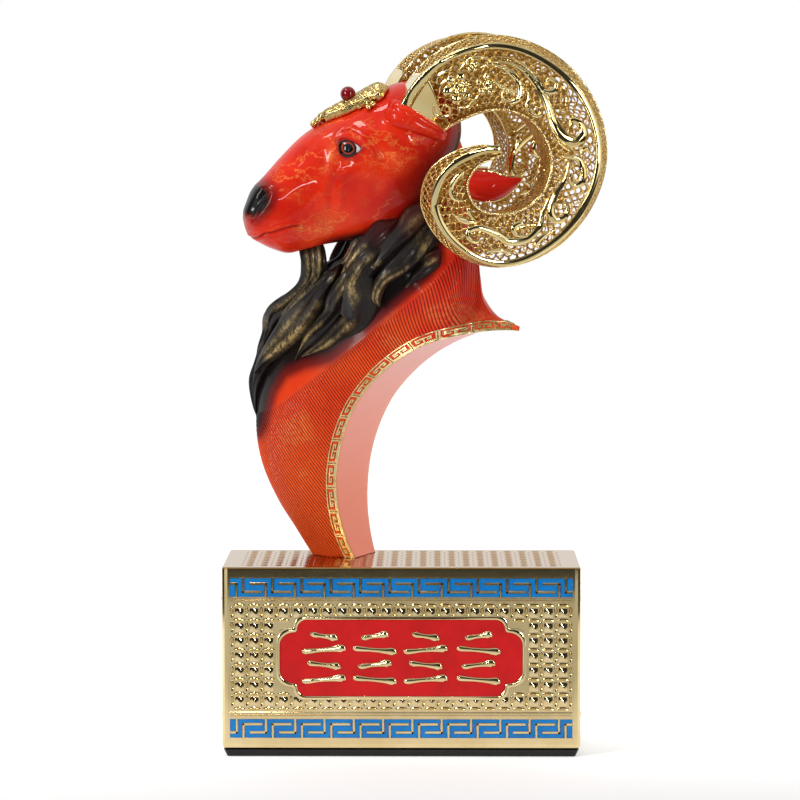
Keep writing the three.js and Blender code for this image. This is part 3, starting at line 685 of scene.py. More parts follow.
def collar_rings():
    """Two rolls of skin round the horn's root: a ring of the horn's section, itself round in section."""
    _, rim, inner, _, reach, depth = table(HORN, 149.0)
    rolls = []
    for angle, grow, thick in ((152.6, 1.5, 2.6), (157.0, 0.4, 3.8)):
        a, b = np.meshgrid(turns(72), turns(24), indexing="ij")
        fat = thick * (1 + 0.14 * np.sin(a + 0.6) + 0.08 * np.sin(3 * a))
        r = (rim + inner) / 2 + ((rim - inner) / 2 + grow) * signed(np.cos(a), 0.8)
        y = reach - depth / 2 + (depth / 2 + grow) * signed(np.sin(a), 0.8)
        r = r + fat * np.cos(b) * np.cos(a)
        y = y + fat * np.cos(b) * np.sin(a)
        rolls.append(horn_place(angle + fat * np.sin(b) / 0.7, r, y))
    return rolls


# Horns
# Each row: angle about the spiral's centre, distance of the rim and of the inner edge from it, how far the
# back rim stands out past the front one, how far the flat side reaches from the middle, and the horn's
# depth.
HORN = [[150, 52.4, 26.5, -2.4, 25, 18], [134, 54.6, 24.8, -1, 29, 20], [120, 56.1, 24.1, 0.5, 34, 22],
        [90, 57.4, 24.6, 3.2, 43, 24], [60, 54.4, 24.8, 7, 49, 25], [30, 51.8, 24.2, 9.2, 53.5, 25],
        [0, 49.9, 24.5, 10.2, 56, 25], [-30, 48.5, 25.2, 9.2, 56.5, 24], [-60, 49.4, 25.7, 6.6, 57, 23],
        [-90, 51.9, 26, 2.4, 57.5, 22], [-120, 48.6, 26.6, 1.2, 58, 20], [-150, 43.2, 22.5, 1.4, 60, 17],
        [-170, 34.2, 16.2, 3.4, 63, 14], [-190, 21.6, 9.4, 4, 65.5, 10], [-210, 14.6, 6.8, 1.3, 68, 7],
        [-232, 10.2, 6, 0, 70, 4.4]]


HORN_X, HORN_Z = 27.7, 302


def horn_place(angle, r, reach):
    """A point of the near horn: r from its centre at an angle, and reach to the side."""
    turn = np.radians(angle)
    return stack(HORN_X + r * np.cos(turn), -reach, HORN_Z + r * np.sin(turn))


def horn_edges(angle, wall):
    """The two edges of a wall of the horn, each as distance from the centre and reach."""
    _, rim, inner, flare, reach, depth = table(HORN, angle)
    return {"side": (inner + 1.4, reach - 0.1, np.maximum(rim - 3.2, inner + 1.6), reach - 0.1),
            "face": (inner - 0.1, reach + 0.2, rim + 0.1, reach + 0.2),
            "rim": (rim - 0.3, reach, rim + flare - 0.2, reach - depth),
            "hole": (inner, reach + 0.3, inner + 0.6, reach - depth),
            "back": (inner + 0.9, reach - depth + 0.2, rim + flare - 0.4, reach - depth + 0.2)}[wall]


def horn_wall(angle, share, wall, lift=0.0):
    """A point on a wall at a share of its width, lifted off it along its outward normal; with that
    normal."""
    r0, y0, r1, y1 = horn_edges(angle, wall)
    wide = np.hypot(r1 - r0, y1 - y0)
    out_r, out_y = (y0 - y1) / wide, (r1 - r0) / wide
    way = -1 if wall in ("hole", "back") else 1
    r = r0 + (r1 - r0) * share + way * out_r * lift
    y = y0 + (y1 - y0) * share + way * out_y * lift
    up = horn_place(angle, r + way * out_r, y + way * out_y) - horn_place(angle, r, y)
    return horn_place(angle, r, y), up


def scale_wires(wall, start, stop, pitch, rise, wide, high):
    """Fish-scale wires: each is half an ellipse over its row, its ends on the crests of the row before. Also
    gives a number for each wire, kept with its points."""
    angle = np.linspace(start, stop, 900)
    middle, _ = horn_wall(angle, 0.5, wall)
    run = lengths(middle)
    r0, y0, r1, y1 = horn_edges(angle, wall)
    width = np.hypot(r1 - r0, y1 - y0)
    count = int(run[-1] / pitch)
    rows = int(width.max() / rise) + 1
    j, k, t = np.meshgrid(np.arange(count), np.arange(rows), np.linspace(0, 1, 9), indexing="ij")
    jog = chance.uniform(-0.1, 0.1, (count, rows, 1))
    at = j + 0.5 * (k % 2) + 0.5 - 0.5 * np.cos(np.pi * t) + jog * np.sin(np.pi * t)
    at = np.clip(at * run[-1] / count, 0, run[-1])
    lift = chance.uniform(0.95, 1.2, (count, rows, 1))
    up_by = (k + lift * np.sin(np.pi * t)) * rise
    place = np.interp(at, run, angle)
    full = np.interp(at, run, width)
    keep = ((k + 0.7) * rise < full).all(-1)
    share = np.clip(up_by / full, 0, 1)[keep]
    path, up = horn_wall(place[keep], share, wall)
    profile = loop_profile(wide, high, 5, 0.8)[None, None] * np.ones(path.shape[:2] + (1, 1))
    if wall == "back":
        wider = 0.72 + 0.6 * ease(35, 80, place[keep]) + 0.5 * ease(-95, -140, place[keep])
        profile[..., 0] *= wider[..., None]
    tone = np.broadcast_to(chance.uniform(0, 1, (len(path), 1, 1)), path.shape[:2] + (5,))
    return carry(path, up, profile), tone


def edge_rail(wall, share, start, stop, wide, high, count, sides, lift):
    """A round rail that follows a wall of the horn at one share of its width."""
    path, up = horn_wall(np.linspace(start, stop, count), share, wall, lift)
    return carry(path, up, loop_profile(wide, high, sides))


def rim_band():
    """The polished flat band inside the rim: wide at the root, narrow along the top, closing at the tip."""
    angle = np.linspace(150, -230, 420)
    _, rim, inner, _, reach, _ = table(HORN, angle)
    half = 1.55 + 1.5 * ease(112, 140, angle) + 0.35 * ease(-100, -150, angle)
    half = np.minimum(half, (rim - inner) / 2 + 0.2)
    path = horn_place(angle, rim + 0.2 - half, reach + 0.35)
    up = horn_place(angle, rim, reach + 1) - horn_place(angle, rim, reach)
    u = np.array([-1, -0.94, -0.8, 0.0, 0.8, 0.94, 1, 0.8, -0.8])
    v = np.array([-0.8, 0.3, 0.62, 0.5, 0.62, 0.3, -0.8, -0.9, -0.9])
    return carry(path, up, stack(u * half[:, None], v))


def ferrule():
    """Smooth plates over the horn's root, on its flat side and its rim; the free edge runs slanting."""
    t, share = np.meshgrid(np.linspace(0, 1, 12), np.linspace(0.0, 1.0, 25), indexing="ij")
    parts = []
    for wall, edge in (("face", 141.5 - 13 * share + 1.5 * np.sin(2.2 * np.pi * share)),
                       ("rim", 128.5 + 4 * share + 1.2 * np.sin(7 * share))):
        angle = 152 + (edge - 152) * t
        top = horn_wall(angle, share, wall, 0.55)[0]
        under = horn_wall(angle, share, wall, -0.8)[0]
        parts.append(np.concatenate([top, under[:, ::-1]], 1))
    return parts


def scroll(rows, wall, lift=0.55, high=0.85):
    """A leaf scroll: a domed ribbon with a soft crest, carried along a curve on the wall and swelling at its
    curl."""
    angle, share, half = columns(rows, np.linspace(0, 1, 18 * len(rows)))
    path, up = horn_wall(angle, np.clip(share, 0.02, 0.98), wall, lift)
    u = np.array([-1, -0.86, -0.5, -0.12, 0, 0.12, 0.5, 0.86, 1, 0.6, -0.6])
    v = np.array([-0.5, 0.2, 0.62, 0.86, 0.95, 0.86, 0.62, 0.2, -0.5, -0.9, -0.9])
    half = np.maximum(half, 0.25) * 1.12
    tall = np.minimum(high, 0.4 + half * 0.4)
    return carry(path, up, stack(u * half[:, None], v * tall[:, None]))


# Each scroll's rows: angle along the horn, share of the wall's width, and half width.
SIDE_SCROLLS = [
    [[105.8, .68, .4], [95.1, .73, .9], [84.6, .66, 1.3], [75.3, .48, 1.6], [71.9, .24, 1.6],
     [77.3, .11, 1.2], [85.9, .14, 1], [86.4, .26, .8], [81.8, .29, .6], [78.8, .24, .4]],
    [[96.7, .78, .5], [79.8, .77, 1.1], [65, .62, 1.6], [53.3, .46, 1.9], [36.6, .28, 2.3], [21.9, .32, 2.7],
     [14.4, .53, 2.6], [17.2, .77, 2.3], [24, .8, 1.8], [29.5, .66, 1.5], [26.2, .56, .8]],
    [[92, .85, .3], [72, .74, .7], [60, .56, .9], [48, .38, 1], [33, .19, 1], [17, .2, .9], [8, .4, .6]],
    [[79.5, .71, .5], [66.1, .68, 1.1], [57.5, .59, 1.4], [52, .71, 1.4], [53.8, .86, 1.2], [58.2, .85, 1],
     [59.3, .77, .8], [56.4, .74, .5]],
    [[72.2, .5, .4], [65.1, .31, 1], [62.8, .13, 1.2], [52.8, .07, 1.1], [48.8, .17, 1], [55.2, .23, .8],
     [56, .16, .5]],
    [[3.7, .22, .4], [1.9, .58, 1.5], [-6.1, .74, 1.9], [-14.2, .78, 1.8], [-18, .62, 1.3], [-15, .46, 1],
     [-9.8, .49, .6]],
    [[5, .64, .4], [9, .78, 1.2], [4, .9, .4]],
    [[-1.8, .34, .5], [-16.4, .33, 1], [-32.6, .26, 1.5], [-44.5, .4, 1.9], [-47.5, .63, 2.1],
     [-42.3, .81, 1.7], [-35.6, .76, 1.2], [-34.7, .58, .9], [-38.9, .58, .5]],
    [[-39.6, .14, .5], [-52.2, .31, 1.1], [-60.1, .54, 1.5], [-71.9, .66, 1.8], [-85.7, .58, 1.9],
     [-96.3, .4, 1.8], [-109.5, .36, 1.6], [-116.6, .54, 1.5], [-115.7, .74, 1.3], [-109.5, .76, 1],
     [-107.6, .64, .6]],
    [[-71.3, .61, .5], [-79.5, .46, 1.2], [-80.9, .28, 1.4], [-73.3, .23, 1.2], [-70.7, .35, .6]],
    [[-113.4, .24, .3], [-120, .36, 1.5], [-127, .5, 1.5], [-135.9, .63, .3]],
    [[-128.4, .08, .3], [-126.1, .18, 1.3], [-115, .26, .3]],
    [[-138, .2, .4], [-146, .44, 1.1], [-158, .52, 1.3], [-168, .34, .9], [-161, .22, .5]],
    [[138.3, .52, .5], [142.2, .37, 1], [140.6, .2, 1.1], [134.4, .16, 1.1], [130.5, .28, .9],
     [133.3, .38, .8], [137.4, .32, .5]],
    [[113, .8, .4], [106, .9, 1.1], [98, .88, .9], [94, .8, .4]],
    [[128, .78, .3], [124, .9, 1], [116, .86, .4]],
    [[93, .88, .3], [80, .86, .7], [68, .74, .9], [58, .6, 1], [49, .47, 1], [38, .34, .9], [26, .26, .4]],
    [[90, .62, .3], [80, .56, .9], [73, .42, 1.2], [70, .3, .6]],
    [[94, .5, .4], [88, .36, 1.1], [80, .3, 1.2], [74, .34, .5]],
    [[126, .2, .3], [118, .12, 1.2], [110, .18, 1.2], [106, .26, .5]],
    [[130, .62, .3], [126, .72, 1.2], [120, .74, .9], [117, .7, .4]],
    [[-52, .86, .3], [-60, .8, 1.1], [-68, .88, .9], [-64, .94, .3]],
    [[-84, .86, .4], [-92, .78, 1.1], [-101, .88, .4]],
]
BACK_SCROLLS = [
    [[21, .52, .5], [14.5, .42, 1.6], [7.3, .2, 1.8], [-3, .08, 1.6], [-15.6, .07, 1.4], [-23.9, .12, 1.3],
     [-25.2, .22, 1.2], [-20, .31, 1], [-14, .32, .8], [-11, .24, .6], [-14.9, .18, .4]],
    [[13, .52, .3], [3.9, .38, 1.5], [-3, .4, 1.5], [-6, .58, .3]],
    [[-27, .3, .5], [-26.6, .46, 1.1], [-30.4, .52, 1.2], [-36, .44, .5]],
    [[24, .5, .5], [19.6, .16, .9], [12, .05, .5]],
    [[70, .2, .4], [56, .5, 1.4], [44, .72, 1.6], [34, .6, 1.2], [38, .44, .8], [44, .48, .4]],
    [[110, .3, .4], [96, .6, 1.3], [82, .7, 1.6], [74, .5, 1.2], [80, .36, .8], [86, .44, .4]],
    [[-44, .7, .4], [-56, .5, 1.3], [-70, .4, 1.6], [-84, .56, 1.3], [-80, .74, .9], [-74, .68, .4]],
    [[-92, .3, .4], [-106, .5, 1.3], [-118, .7, 1.3], [-128, .56, .9], [-122, .42, .4]],
]


def flower(angle, share, coin, petals, wall="side"):
    """A coin with a square hole, its outline going from square to round, and round it domed petals."""
    centre, up = horn_wall(np.array([angle]), np.array([share]), wall, 1.0)
    up = unit(up[0])
    right = unit(np.cross([0, 0, 1.0], up))
    high = np.cross(up, right)
    a = turns(48)

    def disc(x, z, r, lift):
        """Rings of radius r about a point x to the right and z upwards, each lifted off the wall."""
        return (centre[0] + (x + r * np.cos(a))[..., None] * right + (z + r * np.sin(a))[..., None] * high
                + lift[..., None] * up)

    square = 0.28 / np.maximum(np.abs(np.cos(a + 0.2)), np.abs(np.sin(a + 0.2)))
    t = np.array([0, 0, 0.06, 0.12, 0.5, 0.62, 0.72, 0.9, 1.0, 1.0])[:, None]
    lift = np.array([-1.2, 0.7, 1.5, 1.2, 1.2, 1.3, 1.9, 1.9, 1.3, -1.2])[:, None]
    parts = [disc(0.0, 0.0, coin * (square * (1 - t) + t), lift)]
    t = np.array([0.03, 0.3, 0.55, 0.75, 0.9, 1.0, 1.0])[:, None]
    lift = np.array([1.2, 1.1, 0.85, 0.55, 0.2, -0.3, -1.2])[:, None]
    far_out = coin * 1.62
    for i in range(petals):
        turn = 2 * np.pi * i / petals + 0.3
        size = coin * 0.84 * (1 + 0.08 * math.sin(2.4 * i))
        wave = 1 + 0.05 * np.cos(3 * (a - turn))
        parts.append(disc(far_out * math.cos(turn), far_out * math.sin(turn), size * wave * t, lift))
    return parts


def horn_shell(start, stop, grow, count, tip=False):
    """A closed smooth shell of the horn's section, squared ovals from one angle to another."""
    t = np.linspace(0, 1, count)
    angle = start + (stop - start) * t
    _, rim, inner, flare, reach, depth = table(HORN, angle)
    squeeze = np.sqrt(np.clip(1 - ease(0.62, 1.0, t) ** 2, 0.0004, 1)) if tip else np.ones(count)
    a = turns(40)
    c, s = signed(np.cos(a), 0.55), signed(np.sin(a), 0.55)
    mid = (rim + inner + flare / 2)[:, None] / 2
    half = ((rim - inner + flare / 2) / 2 + grow)[:, None] * squeeze[:, None]
    slant = flare[:, None] / 2 * (1 - s) / 2
    r = mid + half * c + slant * (c > 0)
    y = (reach - depth / 2)[:, None] + (depth / 2 + grow)[:, None] * squeeze[:, None] * s
    return horn_place(angle[:, None], r, y)


def horn(turn):
    """All of one horn, turned to its place; gives its shells of polished metal, outer wires and inner
    wires."""
    smooth, wires, inner_wires = Shell(), Shell("tone"), Shell("tone")
    smooth.strips(turn(rim_band()))
    for part in ferrule():
        smooth.strips(turn(part))
    for wall, share, start, stop, wide, high, count, sides, lift in (
            ("rim", 0.985, 149, -214, 0.6, 0.6, 260, 8, 0.0),
            ("rim", 0.06, 149, -222, 0.4, 0.4, 260, 6, 0.2),
            ("face", 0.0, 149, -222, 0.55, 0.5, 260, 8, 0.2),
            ("back", 0.0, 140, -214, 0.6, 0.7, 220, 8, 0.0)):
        smooth.strips(turn(edge_rail(wall, share, start, stop, wide, high, count, sides, lift)))
    angle = np.linspace(146, -222, 240)
    share = np.linspace(0.01, 0.13, 4)
    front, up = horn_wall(angle[:, None], share[None], "hole")
    behind = front - unit(up) * 0.45
    smooth.strips(turn(np.concatenate([front, behind[:, ::-1]], 1)))
    smooth.strips(turn(horn_shell(151.5, 139.5, 0.3, 10)))
    smooth.strips(turn(horn_shell(-207, -237, 0.1, 40, True)))
    for rows in SIDE_SCROLLS:
        smooth.strips(turn(scroll(rows, "side")))
    for rows in BACK_SCROLLS:
        smooth.strips(turn(scroll(rows, "back", 0.5, 0.8)))
    for part in (flower(117.2, .5, 3.5, 6) + flower(98.6, .4, 2.5, 5) + flower(105, .8, 1.7, 5)
                 + flower(12, .14, 2.2, 0, "back")):
        smooth.strips(turn(part))
    bead_radius, bead_pitch = 0.62, 1.15
    run = np.linspace(146, -212, 170)
    gone = np.cumsum(np.abs(np.gradient(run)) * table(HORN, run)[2] * 0.0175 / bead_pitch)
    run = run[np.concatenate([[True], np.diff(np.floor(gone)) > 0])]
    centres, _ = horn_wall(run, 0.01, "face", 0.7)
    bead = ball(np.radians([10, 50, 90, 130, 170]), 8) * bead_radius
    smooth.strips(turn(centres[:, None, None] + bead))
    for wall, start, stop, pitch, rise, wide, high, into in (
            ("side", 141, -206, 4.3, 2.75, 0.36, 0.55, wires), ("rim", 148, -226, 4.0, 3.3, 0.36, 0.5, wires),
            ("back", 146, -208, 3.6, 2.6, 0.62, 0.6, inner_wires),
            ("hole", 138, -208, 3.4, 3.3, 0.34, 0.45, inner_wires)):
        grid, tone = scale_wires(wall, start, stop, pitch, rise, wide, high)
        into.strips(turn(grid), tone=tone)
    return smooth, wires, inner_wires


# Neck
# Each row: angle of the back edge on its arc, x and z of the front edge, half width and swelling.
NECK = [[203.1, -58.6, 95.9, 14.8, 0], [194, -66.8, 108.5, 18.6, 0], [185, -76, 122, 21.4, 0.5],
        [176, -83.8, 136.9, 23.4, 1], [167, -88, 150.4, 24.6, 1.5], [158, -89.3, 165, 25.8, 2],
        [149, -87.4, 182, 26.8, 2], [140, -78, 205, 27.4, 2], [131, -60, 228, 27.6, 1],
        [122, -40, 250, 27.4, -1], [115.5, -20, 290, 25.6, 1], [111, 5, 322, 22, 3],
        [108, 18, 311, 14, 2.2], [105.8, 24.5, 286, 9, 1.4],
        [103.5, 28.6, 252, 7.5, 0.8], [100.5, 29.9, 236, 6.4, 0.5], [97.5, 32.8, 227, 5.4, 0.3],
        [94, 39.5, 219.8, 3.6, 0.2], [89.3, 51.9, 214.8, 0.6, 0]]
LAST = len(NECK) - 1
BORDER = 5.5
RIBS_ALONG, RIBS_DOWN = np.array([0.8, 0.6]), np.array([0.6, -0.8])


def neck_section(tau):
    """The section at a place: its back edge on an arc, its front edge, half width and swelling."""
    angle, x1, z1, half, swell = columns(NECK, tau / LAST)
    r = 88.5 - 6.3 * np.clip((203.1 - angle) / 60 - 0.9, 0, 1)
    x0 = 50.7 + r * np.cos(np.radians(angle))
    z0 = np.maximum(130.5 + r * np.sin(np.radians(angle)), 95.9)
    return x0, z0, x1, z1, half, swell


def neck_point(tau, v):
    """The near side: width half * sqrt(1 - v^2.2) + swell * sin(pi v) over the line from back edge to
    front."""
    x0, z0, x1, z1, half, swell = neck_section(tau)
    v = np.clip(v, 0, 1)
    wide = half * np.sqrt(np.maximum(0, 1 - v**2.2)) + swell * np.sin(np.pi * v)
    return stack(x0 + (x1 - x0) * v, -wide, z0 + (z1 - z0) * v)


def neck_normal(tau, v):
    """Outward normal of the near side, from two short steps over it."""
    a = neck_point(tau + 0.02, v) - neck_point(tau - 0.02, v)
    b = neck_point(tau, v + 0.004) - neck_point(tau, v - 0.004)
    n = unit(np.cross(b, a))
    return n * np.where(n[..., 1:2] > 0, -1.0, 1.0)


def neck_find(x, z):
    """The place (tau, v) whose point lies at x and z, found by Newton steps from the nearest of a coarse
    grid."""
    tt, vv = np.meshgrid(np.linspace(0, LAST, 91), np.linspace(0, 1, 31), indexing="ij")
    known = neck_point(tt, vv)[..., [0, 2]].reshape(-1, 2)
    flat = np.stack([np.ravel(x), np.ravel(z)], -1)
    near = np.concatenate([((flat[i:i + 2000, None] - known) ** 2).sum(-1).argmin(1)
                           for i in range(0, len(flat), 2000)])
    tau, v = tt.ravel()[near], vv.ravel()[near]
    step = 0.01
    for _ in range(8):
        here = neck_point(tau, v)[:, [0, 2]]
        da = (neck_point(tau + step, v)[:, [0, 2]] - here) / step
        v_up, v_down = np.clip(v + step, 0, 1), np.clip(v - step, 0, 1)
        db = neck_point(tau, v_up)[:, [0, 2]] - neck_point(tau, v_down)[:, [0, 2]]
        db = db / np.maximum(v_up - v_down, 1e-6)[:, None]
        miss = flat - here
        det = da[:, 0] * db[:, 1] - da[:, 1] * db[:, 0]
        det = np.where(np.abs(det) < 1e-6, 1e-6, det)
        tau_step = (miss[:, 0] * db[:, 1] - miss[:, 1] * db[:, 0]) / det
        v_step = (da[:, 0] * miss[:, 1] - da[:, 1] * miss[:, 0]) / det
        tau = np.clip(tau + np.clip(tau_step, -0.5, 0.5), 0, LAST)
        v = np.clip(v + np.clip(v_step, -0.1, 0.1), 0, 1)
    return tau.reshape(np.shape(x)), v.reshape(np.shape(x))


# Lines on the near side, as x and z: where the smooth part of the neck ends, and the edge of its painted
# shade and dark paint.
SMOOTH_EDGE = [(-91, 172.5), (-79, 171.5), (-68, 177), (-56.1, 185.5), (-36.5, 198.5), (-22.5, 209.4),
               (-9.8, 222.8), (-0.5, 236.7), (6.2, 248.5), (14, 258), (26, 268)]
DARK_PAINT_AND_SHADE_LINE = [(-90, 168), (-84, 186), (-74, 199), (-58, 206), (-44, 209), (-32, 218), (-22, 231),
             (-12, 247), (-4, 272)]


def soot_on_neck(x, z):
    """Painted shade, with dark paint, lies where the beard falls and fades over the smooth part of the neck.
    """
    return 1 - ease(4, 20, from_line(x, z, DARK_PAINT_AND_SHADE_LINE))


def neck_skin():
    """Closed rings: across the back face, round a small edge, along the near side, and the same on the far
    side."""
    tau = np.linspace(0, LAST, 260)[:, None]
    v = np.concatenate([[0.0], np.linspace(0.012, 0.8, 50), 1 - np.linspace(0.44, 0, 34) ** 2])[None]
    near = neck_point(tau, v)
    x0, z0 = near[:, :1, 0], near[:, :1, 2]
    wide = -near[:, :1, 1]
    edge = stack(x0 + 0.12, -(wide - np.minimum(0.5, wide / 3)), z0)
    across = np.linspace(-0.9, 0.9, 9)[None]
    back = stack(x0 + 0.15, wide * across * 0.98, z0)
    ring = np.concatenate([edge, near, mirrored(near[:, ::-1][:, 1:]), mirrored(edge), back[:, ::-1]], 1)
    back_share = np.repeat([1.0, 0.0, 1.0], [1, 2 * v.size - 1, across.size + 1])[None]
    # Painted shade and dark paint behind the beard, left off the back face, whose mark carries its painted
    # reflection.
    soot = soot_on_neck(ring[..., 0], ring[..., 2]) * (1 - back_share)
    shell = Shell("soot", "ridge", "back")
    shell.strips(attitude(ring), soot=soot, ridge=1.0, back=back_share)
    return shell


def ribs():
    """Ribs along slanting lines x * 0.8 + z * 0.6 = f, from the smooth part or the front edge down to the
    border; past f = 150 they turn by degrees into the nape's own outline. Each rib is |sin|^0.7 across and
    rises from the smooth part."""
    pitch, samples, low, bend_from, bend_wide, nape_from = 1.42, 7, 11.6, 150.0, 24.1, 13.3
    front = neck_point(np.linspace(0, 5.35, 60), np.ones(60))[:, [0, 2]]
    start_line = np.concatenate([front[:-1], np.array(SMOOTH_EDGE)[1:]])
    start_f, start_g = start_line @ RIBS_ALONG, start_line @ RIBS_DOWN
    order = np.argsort(start_f)
    x0, z0, x1, z1, _, _ = neck_section(np.linspace(0, LAST - 1.2, 400))
    share = (BORDER - 0.3) / np.hypot(x1 - x0, z1 - z0)
    stop_line = np.stack([x0 + (x1 - x0) * share, z0 + (z1 - z0) * share], -1)
    stop_f, stop_g = stop_line @ RIBS_ALONG, stop_line @ RIBS_DOWN
    count = int((bend_from + bend_wide - low) / pitch)
    f = low + (np.arange(count * samples + 1) / samples) * pitch
    straight = np.minimum(f, bend_from)
    first = np.interp(straight, start_f[order], start_g[order])
    last = np.maximum(np.interp(straight, stop_f, stop_g), first + 0.5)
    t = np.linspace(0, 1, 46)[None]
    g = first[:, None] + (last - first)[:, None] * t
    x, z = 0.8 * straight[:, None] + 0.6 * g, 0.6 * straight[:, None] - 0.8 * g
    nape = neck_point(nape_from + (LAST - 0.5 - nape_from) * t[0], 0.97 - 0.2 * t[0] ** 4)
    bend = np.clip((f - bend_from) / bend_wide, 0, 1)[:, None]
    tau, v = neck_find(x + (nape[:, 0] - x) * bend, z + (nape[:, 2] - z) * bend)
    base, normal = neck_point(tau, v), neck_normal(tau, v)
    wave = np.abs(np.sin(np.pi * (f - low) / pitch))[:, None] ** 0.7
    run = lengths(base)
    come = ease(0, 3.5, run) * ease(0, 1.2, run[:, -1:] - run + 0.4)
    high = 0.72 - 0.27 * ease(0, 0.5, bend)
    grid = base + normal * (-0.15 + (0.15 + high * wave) * come)[..., None]
    shell = Shell("soot", "ridge", "back")
    shell.both(grid, around=False, soot=soot_on_neck(base[..., 0], base[..., 2]),
               ridge=ease(0.4, 0.85, wave * come + (1 - come)))
    return shell


def border_strips():
    """The key border: plates laid out by length along the back edge and distance in from it. Every second
    hook is turned round; a rail runs along each side of them."""
    tau = np.linspace(0, LAST - 0.35, 900)
    x0, z0 = neck_section(tau)[:2]
    run = np.concatenate([[0], np.cumsum(np.hypot(np.diff(x0), np.diff(z0)))])
    total = run[-1]

    def lay(length, inward, lift):
        """A point at a length along the edge, inward from it and lifted off the skin."""
        place = np.interp(length, run, tau)
        x0, z0, x1, z1, _, _ = neck_section(place)
        v = inward / np.maximum(np.hypot(x1 - x0, z1 - z0), 6)
        return neck_point(place, v) + neck_normal(place, np.clip(v, 0.01, 1)) * lift[..., None]

    shell = Shell()
    units = 27
    step = (total - 1.5) / units
    x0, y0, x1, y1 = np.array([[0.0, 4.7, 0.0, 1.1], [0.0, 1.1, 5.6, 1.1], [5.6, 1.1, 5.6, 3.6],
                               [5.6, 3.6, 2.2, 3.6], [2.2, 3.6, 2.2, 2.5], [2.2, 2.5, 3.8, 2.5]]).T
    runs = []
    for i, s in enumerate(0.7 + step * np.arange(units)):
        back = s + step - 1.2
        runs.append(stack(back - x0, y0, back - x1, y1) if i % 2 else stack(s + x0, y0, s + x1, y1))
    shell.both(plates(np.concatenate(runs), 0.42, [0.0, 0.6, 0.8], [0.0, 0.0, 0.12], lay))
    for inward, half in ((0.4, 0.38), (5.15, 0.36)):
        length = np.linspace(0, total, 420)
        section = ((-half, -0.2), (-half, 0.5), (-half * 0.6, 0.72),
                   (half * 0.6, 0.72), (half, 0.5), (half, -0.2))
        shell.both(np.stack([lay(length, np.full(420, inward + w), np.full(420, h)) for w, h in section], 1))
    return shell


def plates(runs, half, lifts, insets, lay):
    """Straight bars with bevelled tops; each run is x0, y0, x1, y1 on the face, widened by half a width all
    round."""
    a, b = runs[:, None, :2], runs[:, None, 2:]
    along = unit(b - a)
    side = np.stack([-along[..., 1], along[..., 0]], -1)
    out = (half - np.array(insets))[None, :, None]
    a, b = a - along * out, b + along * out
    corners = np.stack([a - side * out, b - side * out, b + side * out, a + side * out], 2)
    lift = np.broadcast_to(np.array(lifts)[None, :, None], corners.shape[:-1])
    return lay(corners[..., 0], corners[..., 1], lift)


# Beard
# Each lock's rows: x, z, how far it reaches to the side, and half its width.
LOCKS = [
    [[-57, 255, 0, 6], [-57, 247, 0, 5.5], [-57, 239, 1, 5.5], [-60, 232, 2, 5.5], [-68, 224, 3, 6],
     [-77, 216, 4, 6.5], [-81, 208, 5, 5], [-85, 200, 5, 3.5], [-88, 193, 5, 1]],
    [[-55, 255, 4, 4], [-54, 247, 5, 4], [-53, 240, 6, 4.5], [-55, 233, 8, 5.5], [-60, 226, 9, 5.5],
     [-66, 219, 10, 5], [-72, 212, 10, 3.5], [-77, 206, 10, 1]],
    [[-32, 260, 5, 4.5], [-35, 254, 5, 4], [-39, 248, 5, 3.5], [-45, 243, 6, 4], [-51, 237, 8, 4.5],
     [-57, 230, 9, 3.5], [-63, 224, 9, 1]],
    [[-21, 264, 19, 8.5], [-28, 258, 19, 8], [-34, 252, 19, 7], [-39, 245, 19, 5.5], [-41, 239, 19, 4],
     [-42, 233, 18, 1]],
    [[-5, 271, 22, 9.5], [-11, 262, 22, 9.5], [-18, 256, 22, 8.5], [-26, 250, 22, 6.5], [-32, 244, 22, 4],
     [-34, 239, 21, 1]],
    [[-47, 241, 16, 5], [-50, 235, 17, 6], [-53, 226, 18, 8], [-58, 218, 18, 9], [-66, 210, 17, 8],
     [-75, 202, 15, 5.5], [-82, 195, 12, 3], [-87, 189, 10, 0.5]],
    [[-38, 245, 21, 4], [-42, 239, 22, 4.5], [-42, 231, 22, 5.5], [-41, 223, 22, 5.5], [-45, 215, 21, 5.5],
     [-52, 208, 20, 4], [-57, 202, 19, 1.5], [-60, 197, 18, 0.5]],
    [[-27, 253, 23, 6.5], [-34, 247, 24, 7], [-36, 240, 24, 7], [-31, 232, 24, 9], [-28, 224, 24, 9.5],
     [-29, 217, 24, 8.5], [-37, 210, 23, 6], [-46, 204, 22, 3.5], [-56, 199, 20, 0.5]],
    [[-2, 263, 24, 6.5], [-9, 255, 25, 6.5], [-16, 248, 26, 6], [-22, 243, 27, 5], [-24, 238, 27, 4],
     [-22, 231, 27, 2.5], [-18, 226, 26, 0.5]],
    [[0, 251, 25, 5.5], [-4, 246, 25, 4.5], [-8, 241, 26, 3], [-10, 236, 26, 0.5]],
    [[-67, 227, 3, 4.5], [-76, 219, 4, 5.5], [-81, 210, 5, 4], [-84, 202, 5, 3.5], [-87, 194, 5, 3],
     [-90, 186, 5, 3], [-91, 179, 4, 2], [-90, 171, 3, 1.5], [-89, 166, 2, 0.5]],
    [[-71, 206, 11, 5.5], [-79, 199, 9, 5.5], [-84, 191, 8, 4.5], [-87, 183, 6, 3.5], [-88, 175, 5, 2],
     [-88, 167, 4, 0.5]],
]


